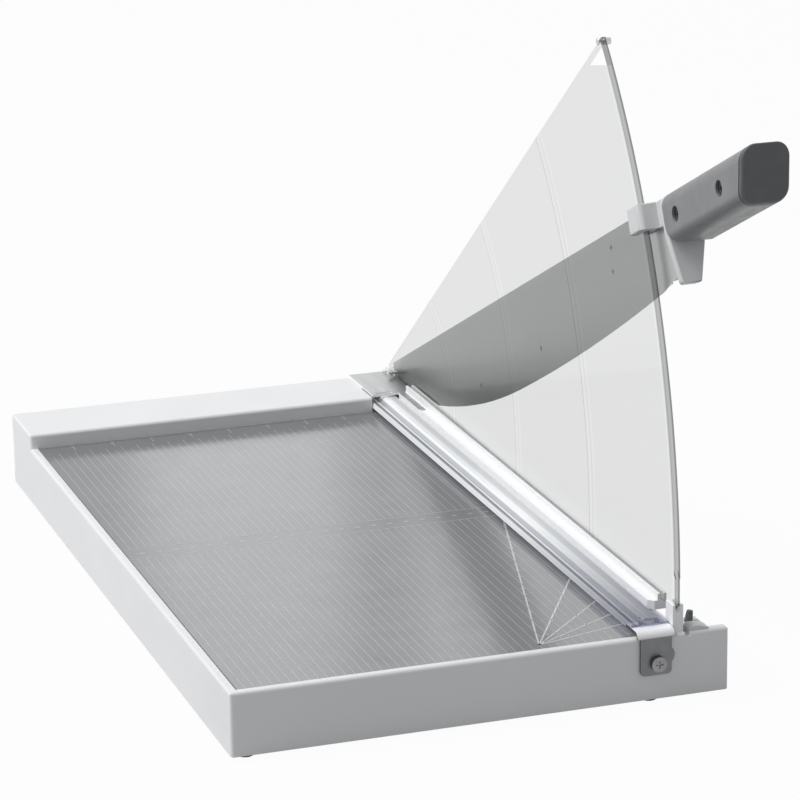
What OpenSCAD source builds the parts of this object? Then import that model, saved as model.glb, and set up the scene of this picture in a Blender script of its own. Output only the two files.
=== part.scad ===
// Guillotine paper trimmer: flat base with a printed table, a clear sector
// guard, a sprung clear clamp bar and a curved knife on a hinged arm.
// Millimetres. X runs across to the knife, Y runs back to the hinge, Z is up.
// The origin is on the desk, at the middle of the space that the trimmer fills.

/* [Base] */
// Width over the front wall
base_w = 280; // [260:1:320]
// Width of the body, up to the fixed blade
body_w = 252; // [235:1:256]
// Depth from the front face to the rear face
base_d = 500; // [460:1:560]
// Height of the body without its feet
shell_h = 35.6; // [34:0.2:42]
// Rise of the rear ledge above the rim
ledge_h = 9.1; // [8.6:0.1:12]
// Depth of the rear ledge, which is the paper stop
ledge_d = 50.5; // [48:0.5:60]
// Thickness of the side and rear walls
wall_t = 3; // [2.5:0.1:4]
// Thickness of the deck under the table plate
deck_t = 3; // [2:0.1:4]
// Width of the rim round the table plate
rim_w = 4.6; // [4:0.1:6]
// Thickness of the front wall beside the knife
front_wall_t = 7; // [6:0.1:7.6]
// Radius of the body's outer edges
edge_r = 2; // [0.5:0.1:2.2]
// Thickness of the bottom plate
bottom_t = 1.5; // [1:0.1:2.5]

/* [Feet] */
// Height of a rubber foot
foot_h = 2.8; // [2:0.1:5]
// Radius of a rubber foot
foot_r = 5; // [4.5:0.1:5.5]
// Distance of the feet from the left and rear edges
foot_in = 10; // [9.5:0.1:12]
// Distance of the right feet from the body's right side
foot_right = 15; // [14:1:50]
// Distance of the front feet from the front face
foot_front = 9; // [8:0.1:11]

/* [Table] */
// Thickness of the printed table plate
table_t = 3; // [2:0.1:3.5]
// Depth of the table's face below the rim
table_sink = 0.4; // [0.2:0.05:0.8]
// Gap round the table plate
table_gap = 0.7; // [0.4:0.05:1]

/* [Fixed blade] */
// Thickness of the fixed blade
counter_t = 3; // [2.5:0.1:4]
// Height of the fixed blade
counter_h = 21; // [16:0.5:24]
// Number of screws in the fixed blade
counter_screws_n = 6; // [3:1:9]

/* [Hinge] */
// Distance of the hinge axis from the rear face
pivot_in = 26; // [24:0.5:30]
// Height of the hinge axis above the body's underside
pivot_up = 34; // [31.5:0.1:35]
// Radius of the hinge bolt's shoulder
bolt_r = 5; // [4.5:0.1:5.5]
// Running clearance round the hinge bolt
bolt_fit = 0.05; // [0.02:0.01:0.1]
// Thickness of the hinge bracket's flange
bracket_t = 2.5; // [2:0.1:2.7]
// Thickness of the friction washer
washer_t = 0.45; // [0.3:0.05:0.5]
// Wall of the hinge bush
bush_t = 2; // [1.5:0.1:2.5]

/* [Arm] */
// Tilt of the arm as it stands raised
rest_tilt = 25; // [18:0.5:30]
// Tilt of the arm when it is down on its buffer
closed_tilt = 3.05; // [3:0.05:5]
// Clearance between the knife and the fixed blade
blade_gap = 0.1; // [0.05:0.01:0.2]
// Thickness of the knife
blade_t = 2; // [1.5:0.1:3]
// Height of the knife's back above the hinge axis
blade_back = 25.7; // [23:0.1:28]
// Depth of the knife's belly below the hinge axis
blade_belly = 32.1; // [30:0.1:33]
// Place of the knife's lowest point, as a share of the way to the guard's curve
belly_share = 0.4811; // [0.44:0.001:0.5]
// Rise of the cutting edge from its lowest point back to the hinge
heel_rise = 34.22; // [31:0.02:36]
// Rise of the cutting edge from its lowest point to the toe
toe_edge_rise = 11; // [9.5:0.1:12.2]
// Width of the ground bevel
bevel_w = 5; // [3:0.1:6]
// Reach of the knife's toe past the guard's curve
toe_past = 2.2; // [0:0.1:4]
// Thickness of the arm casting
arm_t = 8; // [6:0.1:9]
// Width of cutting edge left clear below the casting
edge_show = 6.6; // [6.6:0.1:9]
// Width of the casting's outer flange
arm_flange = 6; // [4:0.1:8]
// Thickness of the casting's web
arm_web = 3; // [2:0.1:4]
// Height of the tang that carries the handle
tang_h = 16; // [12:0.5:18]

/* [Collar] */
// Reach of the collar's front face past the guard's curve
collar_past = 33.5; // [31.2:0.1:36.2]
// Reach of the collar's rear end behind the guard's curve
collar_behind = 5.3; // [4.8:0.1:5.8]
// Thickness of the collar's front flange
collar_flange = 5.2; // [4.4:0.1:5.8]
// Width of the collar's front flange
collar_w = 20.5; // [20:0.1:21]
// Depth of the collar's flange below the hinge axis
collar_drop = 21.6; // [18:0.1:23]
// Length of the hood along the guard
hood_l = 18; // [16:0.1:20]
// Height of the hood that hooks over the guard
hood_h = 14; // [12:0.5:15]
// Thickness of the hood's left cheek
cheek_t = 5; // [3.5:0.1:5.2]

/* [Handle] */
// Width of the handle
handle_w = 26.4; // [24:0.2:28]
// Height of the handle
handle_h = 28.5; // [26:0.5:30]
// Length of the handle along its middle
handle_l = 109.8; // [95:0.5:125]
// Height of the handle's middle above the hinge axis
handle_mid = 12.6; // [12:0.1:13.4]
// Radius of the handle's long edges
handle_r = 7.5; // [5:0.1:9]
// Radius of the handle's lower front corner
handle_nose_r = 13; // [8:0.5:14]
// Slant of the handle's end face
end_slant = 25; // [15:1:30]
// Thickness of the end cap
cap_t = 4.5; // [3:0.1:6]

/* [Guard] */
// Distance of the guard's curve from the front face
guard_front_in = 2.2; // [1.5:0.1:3.5]
// Distance of the curve's centre from the rear face
guard_centre_in = 65.5; // [65:0.1:66]
// Height of the curve's centre above the rim
guard_centre_up = 16.7; // [16:0.1:18]
// Thickness of the guard sheet
guard_t = 2; // [1.6:0.1:2.2]
// Slope of the guard's straight top edge
guard_slope = 37.2; // [36:0.1:38]
// Height of the guard's rear edge
guard_rear_h = 7; // [5:0.5:9]
// Distance of the guard's rear edge from the rear face
guard_rear_in = 11.4; // [11:0.1:13]
// Width of the guard's thickened curved edge
guard_rim_w = 3.4; // [2.5:0.1:4]
// Drop of the window's lower edge below the guard's tip
tip_window_h = 15.6; // [13:0.1:18]
// Width of a stiffening rib
rib_w = 5; // [3:0.5:7]
// Radius of the innermost rib
rib_first = 70; // [60:1:80]
// Distance between the ribs
rib_pitch = 119; // [110:1:120]

/* [Clamp bar] */
// Width of the clamp bar
clamp_w = 21.8; // [18:0.1:22]
// Thickness of the clamp bar's feet
clamp_foot_t = 3; // [2.5:0.1:3.2]
// Height of the clamp bar's raised middle
clamp_h = 5.9; // [5:0.1:6.2]
// Gap under the raised clamp bar
clamp_gap = 2.7; // [2.4:0.1:3]
// Travel of the clamp bar
clamp_travel = 2; // [1.5:0.1:2]
// Thickness of the clamp bar's front bracket
strap_t = 1.5; // [1:0.1:1.8]
// Drop of the front bracket down the front face
strap_drop = 25; // [22:0.5:27]

/* [Hidden] */

$fn = 96;
// Overrun of a cut past the face it opens
over = 1;
// Gap of a seated piece in its pocket
seat = 0.1;
// Gap between pieces that move past each other
slip = 0.3;

// Heights of the body
z0 = foot_h;
z_rim = z0 + shell_h;
z_ledge = z_rim + ledge_h;
z_table = z_rim - table_sink;
z_recess = z_table - table_t;
z_cavity = z_recess - deck_t;
z_clamp = z_table + clamp_gap;

// Guard's curve: its radius and its distance from the hinge axis
guard_r = base_d - guard_centre_in - guard_front_in;
guard_at = guard_r + guard_centre_in - pivot_in;

// Places along the arm, as distances from the hinge axis
belly_at = guard_at * belly_share;
blade_toe = guard_at + toe_past;
collar_rear = guard_at - collar_behind;
collar_front = guard_at + collar_past;
blade_end = collar_front - collar_flange - 0.2;
// Radii of the cutting edge behind and in front of its lowest point
edge_rear_r = (pow(belly_at, 2) + pow(heel_rise, 2)) / (2 * heel_rise);
edge_front_r = (pow(blade_toe - belly_at, 2) + pow(toe_edge_rise, 2)) / (2 * toe_edge_rise);

// Places of the handle, which reaches furthest forward
handle_start = collar_front;
handle_end = handle_start + handle_l;
reach = handle_end * cos(rest_tilt) - handle_mid * sin(rest_tilt);

// Plan of the body
x_left = -base_w / 2;
x_right = base_w / 2;
x_body = x_left + body_w;
x_cut = x_body + counter_t;
y_rear = (pivot_in + reach) / 2;
y_front = y_rear - base_d;
y_ledge = y_rear - ledge_d;

// Hinge axis and the arm's planes
pivot_y = y_rear - pivot_in;
pivot_z = z0 + pivot_up;
x_knife = x_cut + blade_gap;
x_arm = x_knife + blade_t;
x_arm_out = x_arm + arm_t;

// Guard plane and its curve
guard_back = 2.9;
x_guard = x_knife - guard_back - guard_t;
guard_cy = y_rear - guard_centre_in;
guard_cz = z_rim + guard_centre_up;
guard_ry = y_rear - guard_rear_in;
rim_proud = 0.3;
rib_proud = 0.3;
rib_n = 3;

// Screws, as [shank radius, head radius, head height]
small_screw = [1.25, 2.5, 1.4];
medium_screw = [1.6, 3.1, 1.8];
large_screw = [2, 3.9, 2.2];
tongue_screw = [1.1, 1.7, 0.9];
slot_w = 0.8;
slot_depth = 0.7;

// Box between two corners
module box(a, b) {
    translate(a) cube(b - a);
}

// Outline in Y and Z, made into a plate from x0 towards +X
module along_x(x0, t) {
    translate([x0, 0, 0]) rotate([90, 0, 90]) linear_extrude(t) children();
}

// Outline in X and Z, made into a bar from y0 towards +Y
module along_y(y0, len) {
    translate([0, y0 + len, 0]) rotate([90, 0, 0]) linear_extrude(len) children();
}

// Outline in X and Y, made into a slab from zb upwards
module along_z(zb, h) {
    translate([0, 0, zb]) linear_extrude(h) children();
}

// Round bar along X
module rod_x(p, r, len) {
    translate(p) rotate([0, 90, 0]) cylinder(r = r, h = len);
}

// Round bar along Y
module rod_y(p, r, len) {
    translate(p) rotate([-90, 0, 0]) cylinder(r = r, h = len);
}

// Rectangle between two corners
module rect(a, b) {
    translate(a) square(b - a);
}

// Rectangle whose upper corners are rounded
module top_round(a, b, r) {
    intersection() {
        rect(a, b);
        union() {
            rect(a, [b.x, b.y - r]);
            rect([a.x + r, a.y], [b.x - r, b.y]);
            translate([a.x + r, b.y - r]) circle(r);
            translate([b.x - r, b.y - r]) circle(r);
        }
    }
}

// Rectangle with all corners rounded
module round_rect(a, b, r) {
    rect([a.x, a.y + r], [b.x, b.y - r]);
    rect([a.x + r, a.y], [b.x - r, b.y]);
    for (x = [a.x + r, b.x - r], y = [a.y + r, b.y - r])
        translate([x, y]) circle(r);
}

// Block with rounded upper edges and upright edges
module soft_block(a, b, r) {
    intersection() {
        along_x(a.x, b.x - a.x) top_round([a.y, a.z], [b.y, b.z], r);
        along_y(a.y, b.y - a.y) top_round([a.x, a.z], [b.x, b.z], r);
        along_z(a.z, b.z - a.z) round_rect([a.x, a.y], [b.x, b.y], r);
    }
}

// Pan-head screw: head towards +Z, its seat at the origin
module pan_screw(s, len) {
    difference() {
        cylinder(r = s[1], h = s[2]);
        for (a = [0, 90])
            rotate([0, 0, a])
                box([-s[1] / 2, -slot_w / 2, s[2] - slot_depth], [s[1] / 2, slot_w / 2, s[2] + over]);
    }
    translate([0, 0, -len]) cylinder(r = s[0], h = len);
}

// Countersunk screw: its flat top at the origin, facing +Z
module flat_screw(s, len) {
    difference() {
        translate([0, 0, -s[2]]) cylinder(r1 = s[0], r2 = s[1], h = s[2]);
        for (a = [0, 90])
            rotate([0, 0, a])
                box([-s[1] / 2, -slot_w / 2, -slot_depth], [s[1] / 2, slot_w / 2, over]);
    }
    translate([0, 0, -len]) cylinder(r = s[0], h = len - s[2]);
}

// Hole for a countersunk screw
module flat_hole(s, len) {
    translate([0, 0, -s[2]]) cylinder(r1 = s[0] + seat, r2 = s[1] + seat, h = s[2]);
    cylinder(r = s[1] + seat, h = over);
    translate([0, 0, -len - seat]) cylinder(r = s[0] + seat, h = len);
}

// Base: walls, deck, ledge and the wall in front of the knife
counter_front = 13.5;
post_pad_w = 3.8;
post_pad_d = 13;
boss_r = 5.5;
notch_d = 22.5;
notch_w = 24.6;
notch_floor = z_table - slip;
post_slot_w = 1.6;
x_notch = x_body - notch_w - post_slot_w;
block_w = 37;
knife_slot_depth = 2.2;
pocket_r = 4;
pocket_depth = 12;
guide_screw_up = 21;
guide_screw_z = z0 + guide_screw_up;
guide_screw_in = 14;
guide_screw_x = x_body - guide_screw_in;
clamp_boss_w = 22;
clamp_boss_d = 12;
x_post = x_body - post_pad_w;

foot_places = [for (x = [x_left + foot_in, x_body - foot_right], y = [y_front + foot_front, y_rear - foot_in]) [x, y]];
bottom_screw_places = [for (x = [x_left + foot_in, x_body - foot_right]) [x, (y_front + y_rear) / 2]];
counter_pitch = (base_d - ledge_d - counter_front) / counter_screws_n;
counter_places = [for (i = [0 : counter_screws_n - 1]) [y_front + counter_front + counter_pitch * (i + 0.5), z_table - counter_h * 0.6]];

module shell_outside() {
    intersection() {
        union() {
            soft_block([x_left, y_front, z0], [x_body + 3 * edge_r, y_rear, z_rim], edge_r);
            soft_block([x_left, y_ledge, z0], [x_body + 3 * edge_r, y_rear, z_ledge], edge_r);
        }
        box([x_left, y_front, z0], [x_body, y_rear, z_ledge]);
    }
    soft_block([x_left, y_front, z0], [x_right, y_front + front_wall_t, z_rim], edge_r);
}

module shell_bosses() {
    for (p = concat(foot_places, bottom_screw_places))
        translate([p.x, p.y, z0 + bottom_t]) cylinder(r = boss_r, h = z_ledge - z0 - bottom_t);
    // Boss behind the front wall for the clamp's guide screw and spring
    box([guide_screw_x - clamp_boss_w / 2, y_front + rim_w - over, z0 + bottom_t],
        [x_body - over, y_front + rim_w + clamp_boss_d, z_cavity + over]);
}

module base_shell() {
    color([0.86, 0.87, 0.88]) difference() {
        shell_outside();
        // Recess for the table plate, open beside the fixed blade
        difference() {
            box([x_left + rim_w, y_front + rim_w, z_recess], [x_body + over, y_ledge, z_ledge + over]);
            box([x_post, y_front, z0], [x_body + 2 * over, y_front + post_pad_d, z_rim]);
        }
        // Hollow underside
        difference() {
            union() {
                box([x_left + wall_t, y_front + rim_w, z0 - over], [x_body - wall_t, y_rear - wall_t, z_cavity]);
                box([x_left + wall_t, y_ledge + wall_t, z0], [x_body - block_w, y_rear - wall_t, z_ledge - wall_t]);
            }
            shell_bosses();
            pivot_wall();
        }
        // Rebate for the bottom plate
        box([x_left + wall_t / 2, y_front + wall_t / 2, z0 - over], [x_body - wall_t / 2, y_rear - wall_t / 2, z0 + bottom_t]);
        // Notch that the clamp bar and the rail run into
        box([x_notch, y_ledge - over, notch_floor], [x_body - post_slot_w, y_ledge + notch_d, z_ledge + over]);
        // Slot for the knife's toe in the front wall
        box([x_cut - slip, y_front - over, z_rim - knife_slot_depth],
            [x_arm + 2 * slip, y_front + front_wall_t + over, z_rim + over]);
        clamp_pockets(seat);
        rod_y([guide_screw_x, y_front - over, guide_screw_z], large_screw[0] + seat, guide_len + over + seat);
        pivot_window();
        for (p = foot_places)
            translate([p.x, p.y, z0]) cylinder(r = medium_screw[0] + seat, h = foot_screw_len + bottom_t);
        for (p = bottom_screw_places)
            translate([p.x, p.y, z0]) cylinder(r = small_screw[0] + seat, h = bottom_screw_len + bottom_t);
        for (p = counter_places)
            translate([x_cut, p.x, p.y]) rotate([0, 90, 0]) flat_hole(large_screw, counter_t + wall_t + over);
        for (p = arm_rest_places)
            rod_y([p.x, y_front + front_wall_t - arm_rest_hold, p.y], medium_screw[0] + seat, arm_rest_hold + over);
        for (p = pivot_screw_places)
            rod_x([x_body - pivot_screw_len, p.x, p.y], large_screw[0] + seat, pivot_screw_len + over);
        for (p = bracket_studs)
            translate([p.x, p.y, z_ledge - p.z - seat]) cylinder(r = stud_r + seat, h = p.z + over);
    }
}

// Table: printed plate that lies in the recess
module table_plate() {
    color([0.62, 0.64, 0.66]) difference() {
        box([x_left + rim_w + table_gap, y_front + rim_w + table_gap, z_recess],
            [x_body - seat, y_ledge - seat, z_table]);
        box([x_post - table_gap, y_front, z_recess - over],
            [x_body + over, y_front + post_pad_d + table_gap, z_table + over]);
        clamp_pockets(slip);
    }
}

// Bottom plate: closes the hollow base
module bottom_plate() {
    color([0.6, 0.61, 0.63]) difference() {
        box([x_left + wall_t / 2 + seat, y_front + wall_t / 2 + seat, z0],
            [x_body - wall_t / 2 - seat, y_rear - wall_t / 2 - seat, z0 + bottom_t]);
        for (p = foot_places)
            translate([p.x, p.y, z0 - over]) cylinder(r = medium_screw[0] + seat, h = bottom_t + 2 * over);
        for (p = bottom_screw_places)
            translate([p.x, p.y, z0 - over]) cylinder(r = small_screw[0] + seat, h = bottom_t + 2 * over);
    }
}

// Feet: rubber buttons with a countersunk screw each
foot_screw_len = 9;
bottom_screw_len = 8;
foot_sink = 1;

module rubber_feet() {
    color([0.12, 0.12, 0.13])
        for (p = foot_places)
            translate([p.x, p.y, 0]) difference() {
                cylinder(r1 = foot_r - foot_sink / 2, r2 = foot_r, h = foot_h);
                translate([0, 0, -over]) cylinder(r = medium_screw[0] + seat, h = foot_h + 2 * over);
                translate([0, 0, -over]) cylinder(r = medium_screw[1] + seat, h = over + foot_sink);
                translate([0, 0, foot_sink]) cylinder(r1 = medium_screw[1] + seat, r2 = medium_screw[0] + seat, h = medium_screw[2]);
            }
}

module foot_screws() {
    color([0.6, 0.6, 0.62])
        for (p = foot_places)
            translate([p.x, p.y, foot_sink]) rotate([180, 0, 0]) flat_screw(medium_screw, foot_screw_len);
}

module bottom_screws() {
    color([0.6, 0.6, 0.62])
        for (p = bottom_screw_places)
            translate([p.x, p.y, z0]) rotate([180, 0, 0]) pan_screw(small_screw, bottom_screw_len);
}

// Fixed blade: ground steel bar screwed to the body's right side
module counter_blade() {
    color([0.7, 0.71, 0.73]) difference() {
        box([x_body, y_front + counter_front, z_table - counter_h], [x_cut, y_ledge - seat, z_table]);
        for (p = counter_places)
            translate([x_cut, p.x, p.y]) rotate([0, 90, 0]) flat_hole(large_screw, counter_t + wall_t);
    }
}

module counter_blade_screws() {
    color([0.5, 0.5, 0.52])
        for (p = counter_places)
            translate([x_cut - seat, p.x, p.y]) rotate([0, 90, 0]) flat_screw(large_screw, counter_t + wall_t);
}

// Arm rest: moulded block behind the front wall, with a rubber buffer
arm_rest_w = 11.5;
arm_rest_d = 14;
arm_rest_up = 0.4;
hump_up = 2.4;
hump_d = 8;
arm_rest_down = 22;
arm_rest_hold = 5;
buffer_r = 2.4;
buffer_tip_r = 1.7;
buffer_lean = 8;
buffer_sink = 3;
x_rest = x_arm + 0.6;
y_rest = y_front + front_wall_t;
buffer_x = x_rest + arm_rest_w * 0.46;
buffer_y = y_rest + arm_rest_d * 0.62;
// Underside of the casting over the buffer when the arm is down
casting_low_at = pivot_y - buffer_y;
casting_low_w = edge_front_r - blade_belly - sqrt(pow(edge_front_r - edge_show, 2) - pow(casting_low_at - belly_at, 2));
buffer_top = pivot_z + casting_low_at * tan(closed_tilt) + casting_low_w / cos(closed_tilt) - slip;
arm_rest_places = [for (i = [0.4, 0.77]) [x_rest + arm_rest_w / 2, z_rim - arm_rest_down * i]];

module buffer_place() {
    translate([buffer_x, buffer_y, z_rim + arm_rest_up]) rotate([0, buffer_lean, 0]) children();
}

module arm_rest() {
    color([0.8, 0.81, 0.82]) difference() {
        union() {
            along_y(y_rest + seat, arm_rest_d)
                top_round([x_rest, z_rim - arm_rest_down], [x_rest + arm_rest_w, z_rim + arm_rest_up], arm_rest_up);
            // Hump over the front wall
            along_y(y_front + edge_r, hump_d)
                polygon([[x_rest, z_rim + seat], [x_rest, z_rim + hump_up / 2], [x_rest + hump_up / 2, z_rim + hump_up],
                    [x_rest + arm_rest_w / 2, z_rim + hump_up], [x_rest + arm_rest_w, z_rim + hump_up / 4], [x_rest + arm_rest_w, z_rim + seat]]);
        }
        buffer_place() translate([0, 0, -buffer_sink]) cylinder(r = buffer_r + seat, h = buffer_sink + hump_up);
        for (p = arm_rest_places) {
            rod_y([p.x, y_rest, p.y], medium_screw[0] + seat, arm_rest_d + over);
            rod_y([p.x, y_rest + arm_rest_d - arm_rest_hold, p.y], medium_screw[1] + seat, arm_rest_hold + over);
        }
    }
}

module arm_rest_screws() {
    color([0.6, 0.6, 0.62])
        for (p = arm_rest_places)
            translate([p.x, y_rest + arm_rest_d - arm_rest_hold, p.y]) rotate([-90, 0, 0])
                pan_screw(medium_screw, arm_rest_d - seat);
}

module arm_buffer() {
    // The highest point of the leaning top lies under the closed arm
    tall = (buffer_top - z_rim - arm_rest_up - buffer_tip_r * sin(buffer_lean)) / cos(buffer_lean);
    color([0.3, 0.31, 0.32]) buffer_place() translate([0, 0, -buffer_sink])
        {
            cylinder(r = buffer_r, h = buffer_sink);
            translate([0, 0, buffer_sink]) cylinder(r1 = buffer_r, r2 = buffer_tip_r, h = tall);
        }
}

// Hinge: bracket on the body, shoulder bolt, washers and bush
bracket_front = 18.5;
bracket_low = 7;
bracket_r = 3;
pivot_boss_r = 7;
pivot_boss_len = 9;
pivot_screw_len = 8;
bolt_head_r = 8.5;
bolt_head_t = 5.5;
bolt_thread_r = 4;
spring_washer_t = 1.4;
spring_washer_r = 10;
friction_r = 9;
y_bracket = [pivot_y - bracket_front, y_rear - wall_t / 2];
z_bracket = [z0 + bracket_low, z_ledge - slip];
pivot_screw_in = 6;
pivot_screw_up = 14;
pivot_screw_places = [[y_bracket[0] + pivot_screw_in, z0 + pivot_screw_up],
    [y_bracket[1] - pivot_screw_in, z0 + pivot_screw_up], [y_bracket[1] - pivot_screw_in, z_ledge - pivot_screw_up / 2]];

module pivot_wall() {
    // Thick wall behind the hinge bracket
    box([x_body - pivot_boss_len - wall_t, y_bracket[0] - wall_t, z0 + bottom_t], [x_body, y_rear, z_ledge]);
}

module pivot_window() {
    rod_x([x_body - pivot_boss_len - seat, pivot_y, pivot_z], pivot_boss_r + seat, pivot_boss_len + over);
}

module pivot_bracket() {
    color([0.66, 0.67, 0.69]) difference() {
        union() {
            along_x(x_body, bracket_t)
                round_rect([y_bracket[0], z_bracket[0]], [y_bracket[1], z_bracket[1]], bracket_r);
            rod_x([x_body - pivot_boss_len, pivot_y, pivot_z], pivot_boss_r, pivot_boss_len);
        }
        rod_x([x_body - pivot_boss_len - over, pivot_y, pivot_z], bolt_thread_r + bolt_fit, pivot_boss_len + bracket_t + 2 * over);
        for (p = pivot_screw_places)
            translate([x_body + bracket_t, p.x, p.y]) rotate([0, 90, 0]) flat_hole(large_screw, pivot_screw_len);
    }
}

module pivot_bracket_screws() {
    color([0.5, 0.5, 0.52])
        for (p = pivot_screw_places)
            translate([x_body + bracket_t - seat / 2, p.x, p.y]) rotate([0, 90, 0]) flat_screw(large_screw, pivot_screw_len);
}

module pivot_bolt() {
    x_head = x_arm_out + boss_proud + spring_washer_t + seat;
    color([0.45, 0.46, 0.48]) {
        rod_x([x_body - pivot_boss_len, pivot_y, pivot_z], bolt_thread_r, pivot_boss_len + bracket_t);
        rod_x([x_body + bracket_t, pivot_y, pivot_z], bolt_r, x_head - x_body - bracket_t);
        difference() {
            rod_x([x_head, pivot_y, pivot_z], bolt_head_r, bolt_head_t);
            translate([x_head + bolt_head_t / 2, pivot_y, pivot_z]) rotate([0, 90, 0]) cylinder(r = bolt_head_r / 2, h = bolt_head_t, $fn = 6);
        }
    }
}

module ring_x(x0, ri, ro, t) {
    difference() {
        rod_x([x0, pivot_y, pivot_z], ro, t);
        rod_x([x0 - over, pivot_y, pivot_z], ri, t + 2 * over);
    }
}

module friction_washer() {
    color([0.9, 0.88, 0.8]) ring_x(x_body + bracket_t + seat / 2, bolt_r + seat, friction_r, washer_t);
}

module spring_washer() {
    color([0.6, 0.6, 0.62]) ring_x(x_arm_out + boss_proud + seat / 2, bolt_r + seat, spring_washer_r, spring_washer_t);
}

// Rear bracket: steel plate over the notch, with a tongue along the rail
plate_t = 1.5;
plate_w = 27.5;
plate_front = 0.6;
tongue_w = 4.2;
tongue_l = 44;
tongue_tip = 2.4;
stud_r = 2;
nut_r = 3.7;
nut_t = 3.2;
window_w = 11;
window_d = 3;
x_plate = x_cut - seat - 1 - plate_w;
nut_in = [4.6, 20];
nut_place = [x_plate + nut_in[0], y_rear - nut_in[1]];
// Two studs, as [x, y, length]: one ends in a nut, one in the thick wall
bracket_studs = [[nut_place.x, nut_place.y, z_ledge - z_cavity + nut_t + over / 2],
    [x_body - pivot_boss_len + over / 2, y_rear - 7, 9]];

module rear_bracket() {
    color([0.74, 0.75, 0.77]) {
        difference() {
            union() {
                box([x_plate, y_ledge + plate_front, z_ledge], [x_plate + plate_w, y_rear, z_ledge + plate_t]);
                along_z(z_ledge, plate_t)
                    polygon([[x_rail, y_ledge + plate_front + over], [x_rail, y_ledge - tongue_l + tongue_w],
                        [x_rail + tongue_tip, y_ledge - tongue_l], [x_rail + tongue_w, y_ledge - tongue_l],
                        [x_rail + tongue_w, y_ledge + plate_front + over]]);
            }
            box([x_plate + 2 * plate_t, y_ledge + plate_front + plate_t, z_ledge - over],
                [x_plate + 2 * plate_t + window_w, y_ledge + plate_front + plate_t + window_d, z_ledge + plate_t + over]);
            for (p = rail_screw_places)
                translate([p.x, p.y, z_ledge + plate_t]) flat_hole(tongue_screw, plate_t + over);
        }
        for (p = bracket_studs)
            translate([p.x, p.y, z_ledge - p.z]) cylinder(r = stud_r, h = p.z);
    }
}

module rear_bracket_nut() {
    color([0.6, 0.6, 0.62])
        translate([nut_place.x, nut_place.y, z_cavity - nut_t]) difference() {
            cylinder(r = nut_r, h = nut_t, $fn = 6);
            translate([0, 0, -over]) cylinder(r = stud_r + seat / 2, h = nut_t + 2 * over);
        }
}

// Guard: clear sector with a thick curved edge, ribs and an open tip
guard_up = 11.7;
guard_low = z_rim + guard_up;
tip_bar = 2.6;
tip_window_slope = 11;

module guard_outline(cut) {
    // Sector under the sloping edge and inside the curve, each drawn in by cut
    intersection() {
        translate([guard_cy, guard_cz]) circle(guard_r - cut, $fn = 360);
        polygon([[guard_ry, guard_low], [guard_ry, guard_low + guard_rear_h - cut / cos(guard_slope)],
            [guard_ry - guard_r - ledge_d, guard_low + guard_rear_h - cut / cos(guard_slope) + (guard_r + ledge_d) * tan(guard_slope)],
            [guard_ry - guard_r - ledge_d, guard_low]]);
    }
}

// Corner where the sloping edge meets the curve
edge_drop = guard_low + guard_rear_h - guard_cz + (guard_ry - guard_cy) * tan(guard_slope);
edge_off = edge_drop * cos(guard_slope);
tip_turn = guard_slope + asin(edge_off / guard_r);
tip_y = guard_cy - guard_r * cos(tip_turn);
tip_z = guard_cz + guard_r * sin(tip_turn);

module guard_panel() {
    color([0.85, 0.88, 0.87, 0.35]) difference() {
        union() {
            along_x(x_guard, guard_t) guard_outline(0);
            // Thick curved edge
            along_x(x_guard - rim_proud, guard_t + 2 * rim_proud) difference() {
                guard_outline(0);
                translate([guard_cy, guard_cz]) circle(guard_r - guard_rim_w, $fn = 360);
            }
            // Concentric ribs on the left face
            along_x(x_guard - rib_proud, guard_t) intersection() {
                guard_outline(0);
                rect([guard_ry - 2 * guard_r, guard_low + rail_cheek_h + slip], [guard_ry + over, guard_low + 2 * guard_r]);
                for (i = [0 : rib_n - 1])
                    translate([guard_cy, guard_cz]) difference() {
                        circle(rib_first + i * rib_pitch + rib_w / 2, $fn = 240);
                        circle(rib_first + i * rib_pitch - rib_w / 2, $fn = 240);
                    }
            }
        }
        // Window at the tip
        along_x(x_guard - over, guard_t + 2 * over) intersection() {
            guard_outline(tip_bar);
            translate([tip_y, tip_z - tip_window_h]) rotate(-tip_window_slope)
                rect([-guard_r, 0], [guard_r, guard_r]);
        }
        rod_x([x_guard - over, stop_y, stop_z], stop_r + seat, guard_t + 2 * over);
        for (p = guard_pin_places)
            rod_x([x_guard - over, p.x, p.y], guard_pin_r + seat, guard_t + 2 * over);
    }
}

// Stop pin at the guard's tip, which ends the arm's upward swing
stop_r = 1.2;
stop_head_r = 2;
stop_in = 3.2;
stop_y = tip_y + stop_in * 1.15;
stop_z = tip_z - stop_in;
stop_reach = 4.2;
stop_head_t = 0.8;

module guard_stop_pin() {
    color([0.62, 0.64, 0.65]) {
        rod_x([x_guard - rim_proud - stop_head_t, stop_y, stop_z], stop_r, stop_head_t + guard_t + 2 * rim_proud + stop_reach);
        rod_x([x_guard - rim_proud - stop_head_t, stop_y, stop_z], stop_head_r, stop_head_t);
        rod_x([x_guard + guard_t + rim_proud, stop_y, stop_z], stop_head_r, stop_reach);
    }
}

// Rail: white channel that carries the guard's lower edge
rail_w = 10;
rail_front = 24.5;
rail_bevel = 4;
rail_gap = 0.6;
rail_base_t = 5;
rail_cheek_t = 1.5;
rail_cheek_h = 3;
x_rail = x_guard + guard_t + seat + rail_cheek_t - rail_w;
z_rail = z_clamp + clamp_foot_t + rail_gap;
z_groove = z_rail + rail_base_t;
rail_screw_places = [for (i = [0.3, 0.75]) [x_rail + tongue_w / 2, y_ledge - tongue_l * i]];

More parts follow.
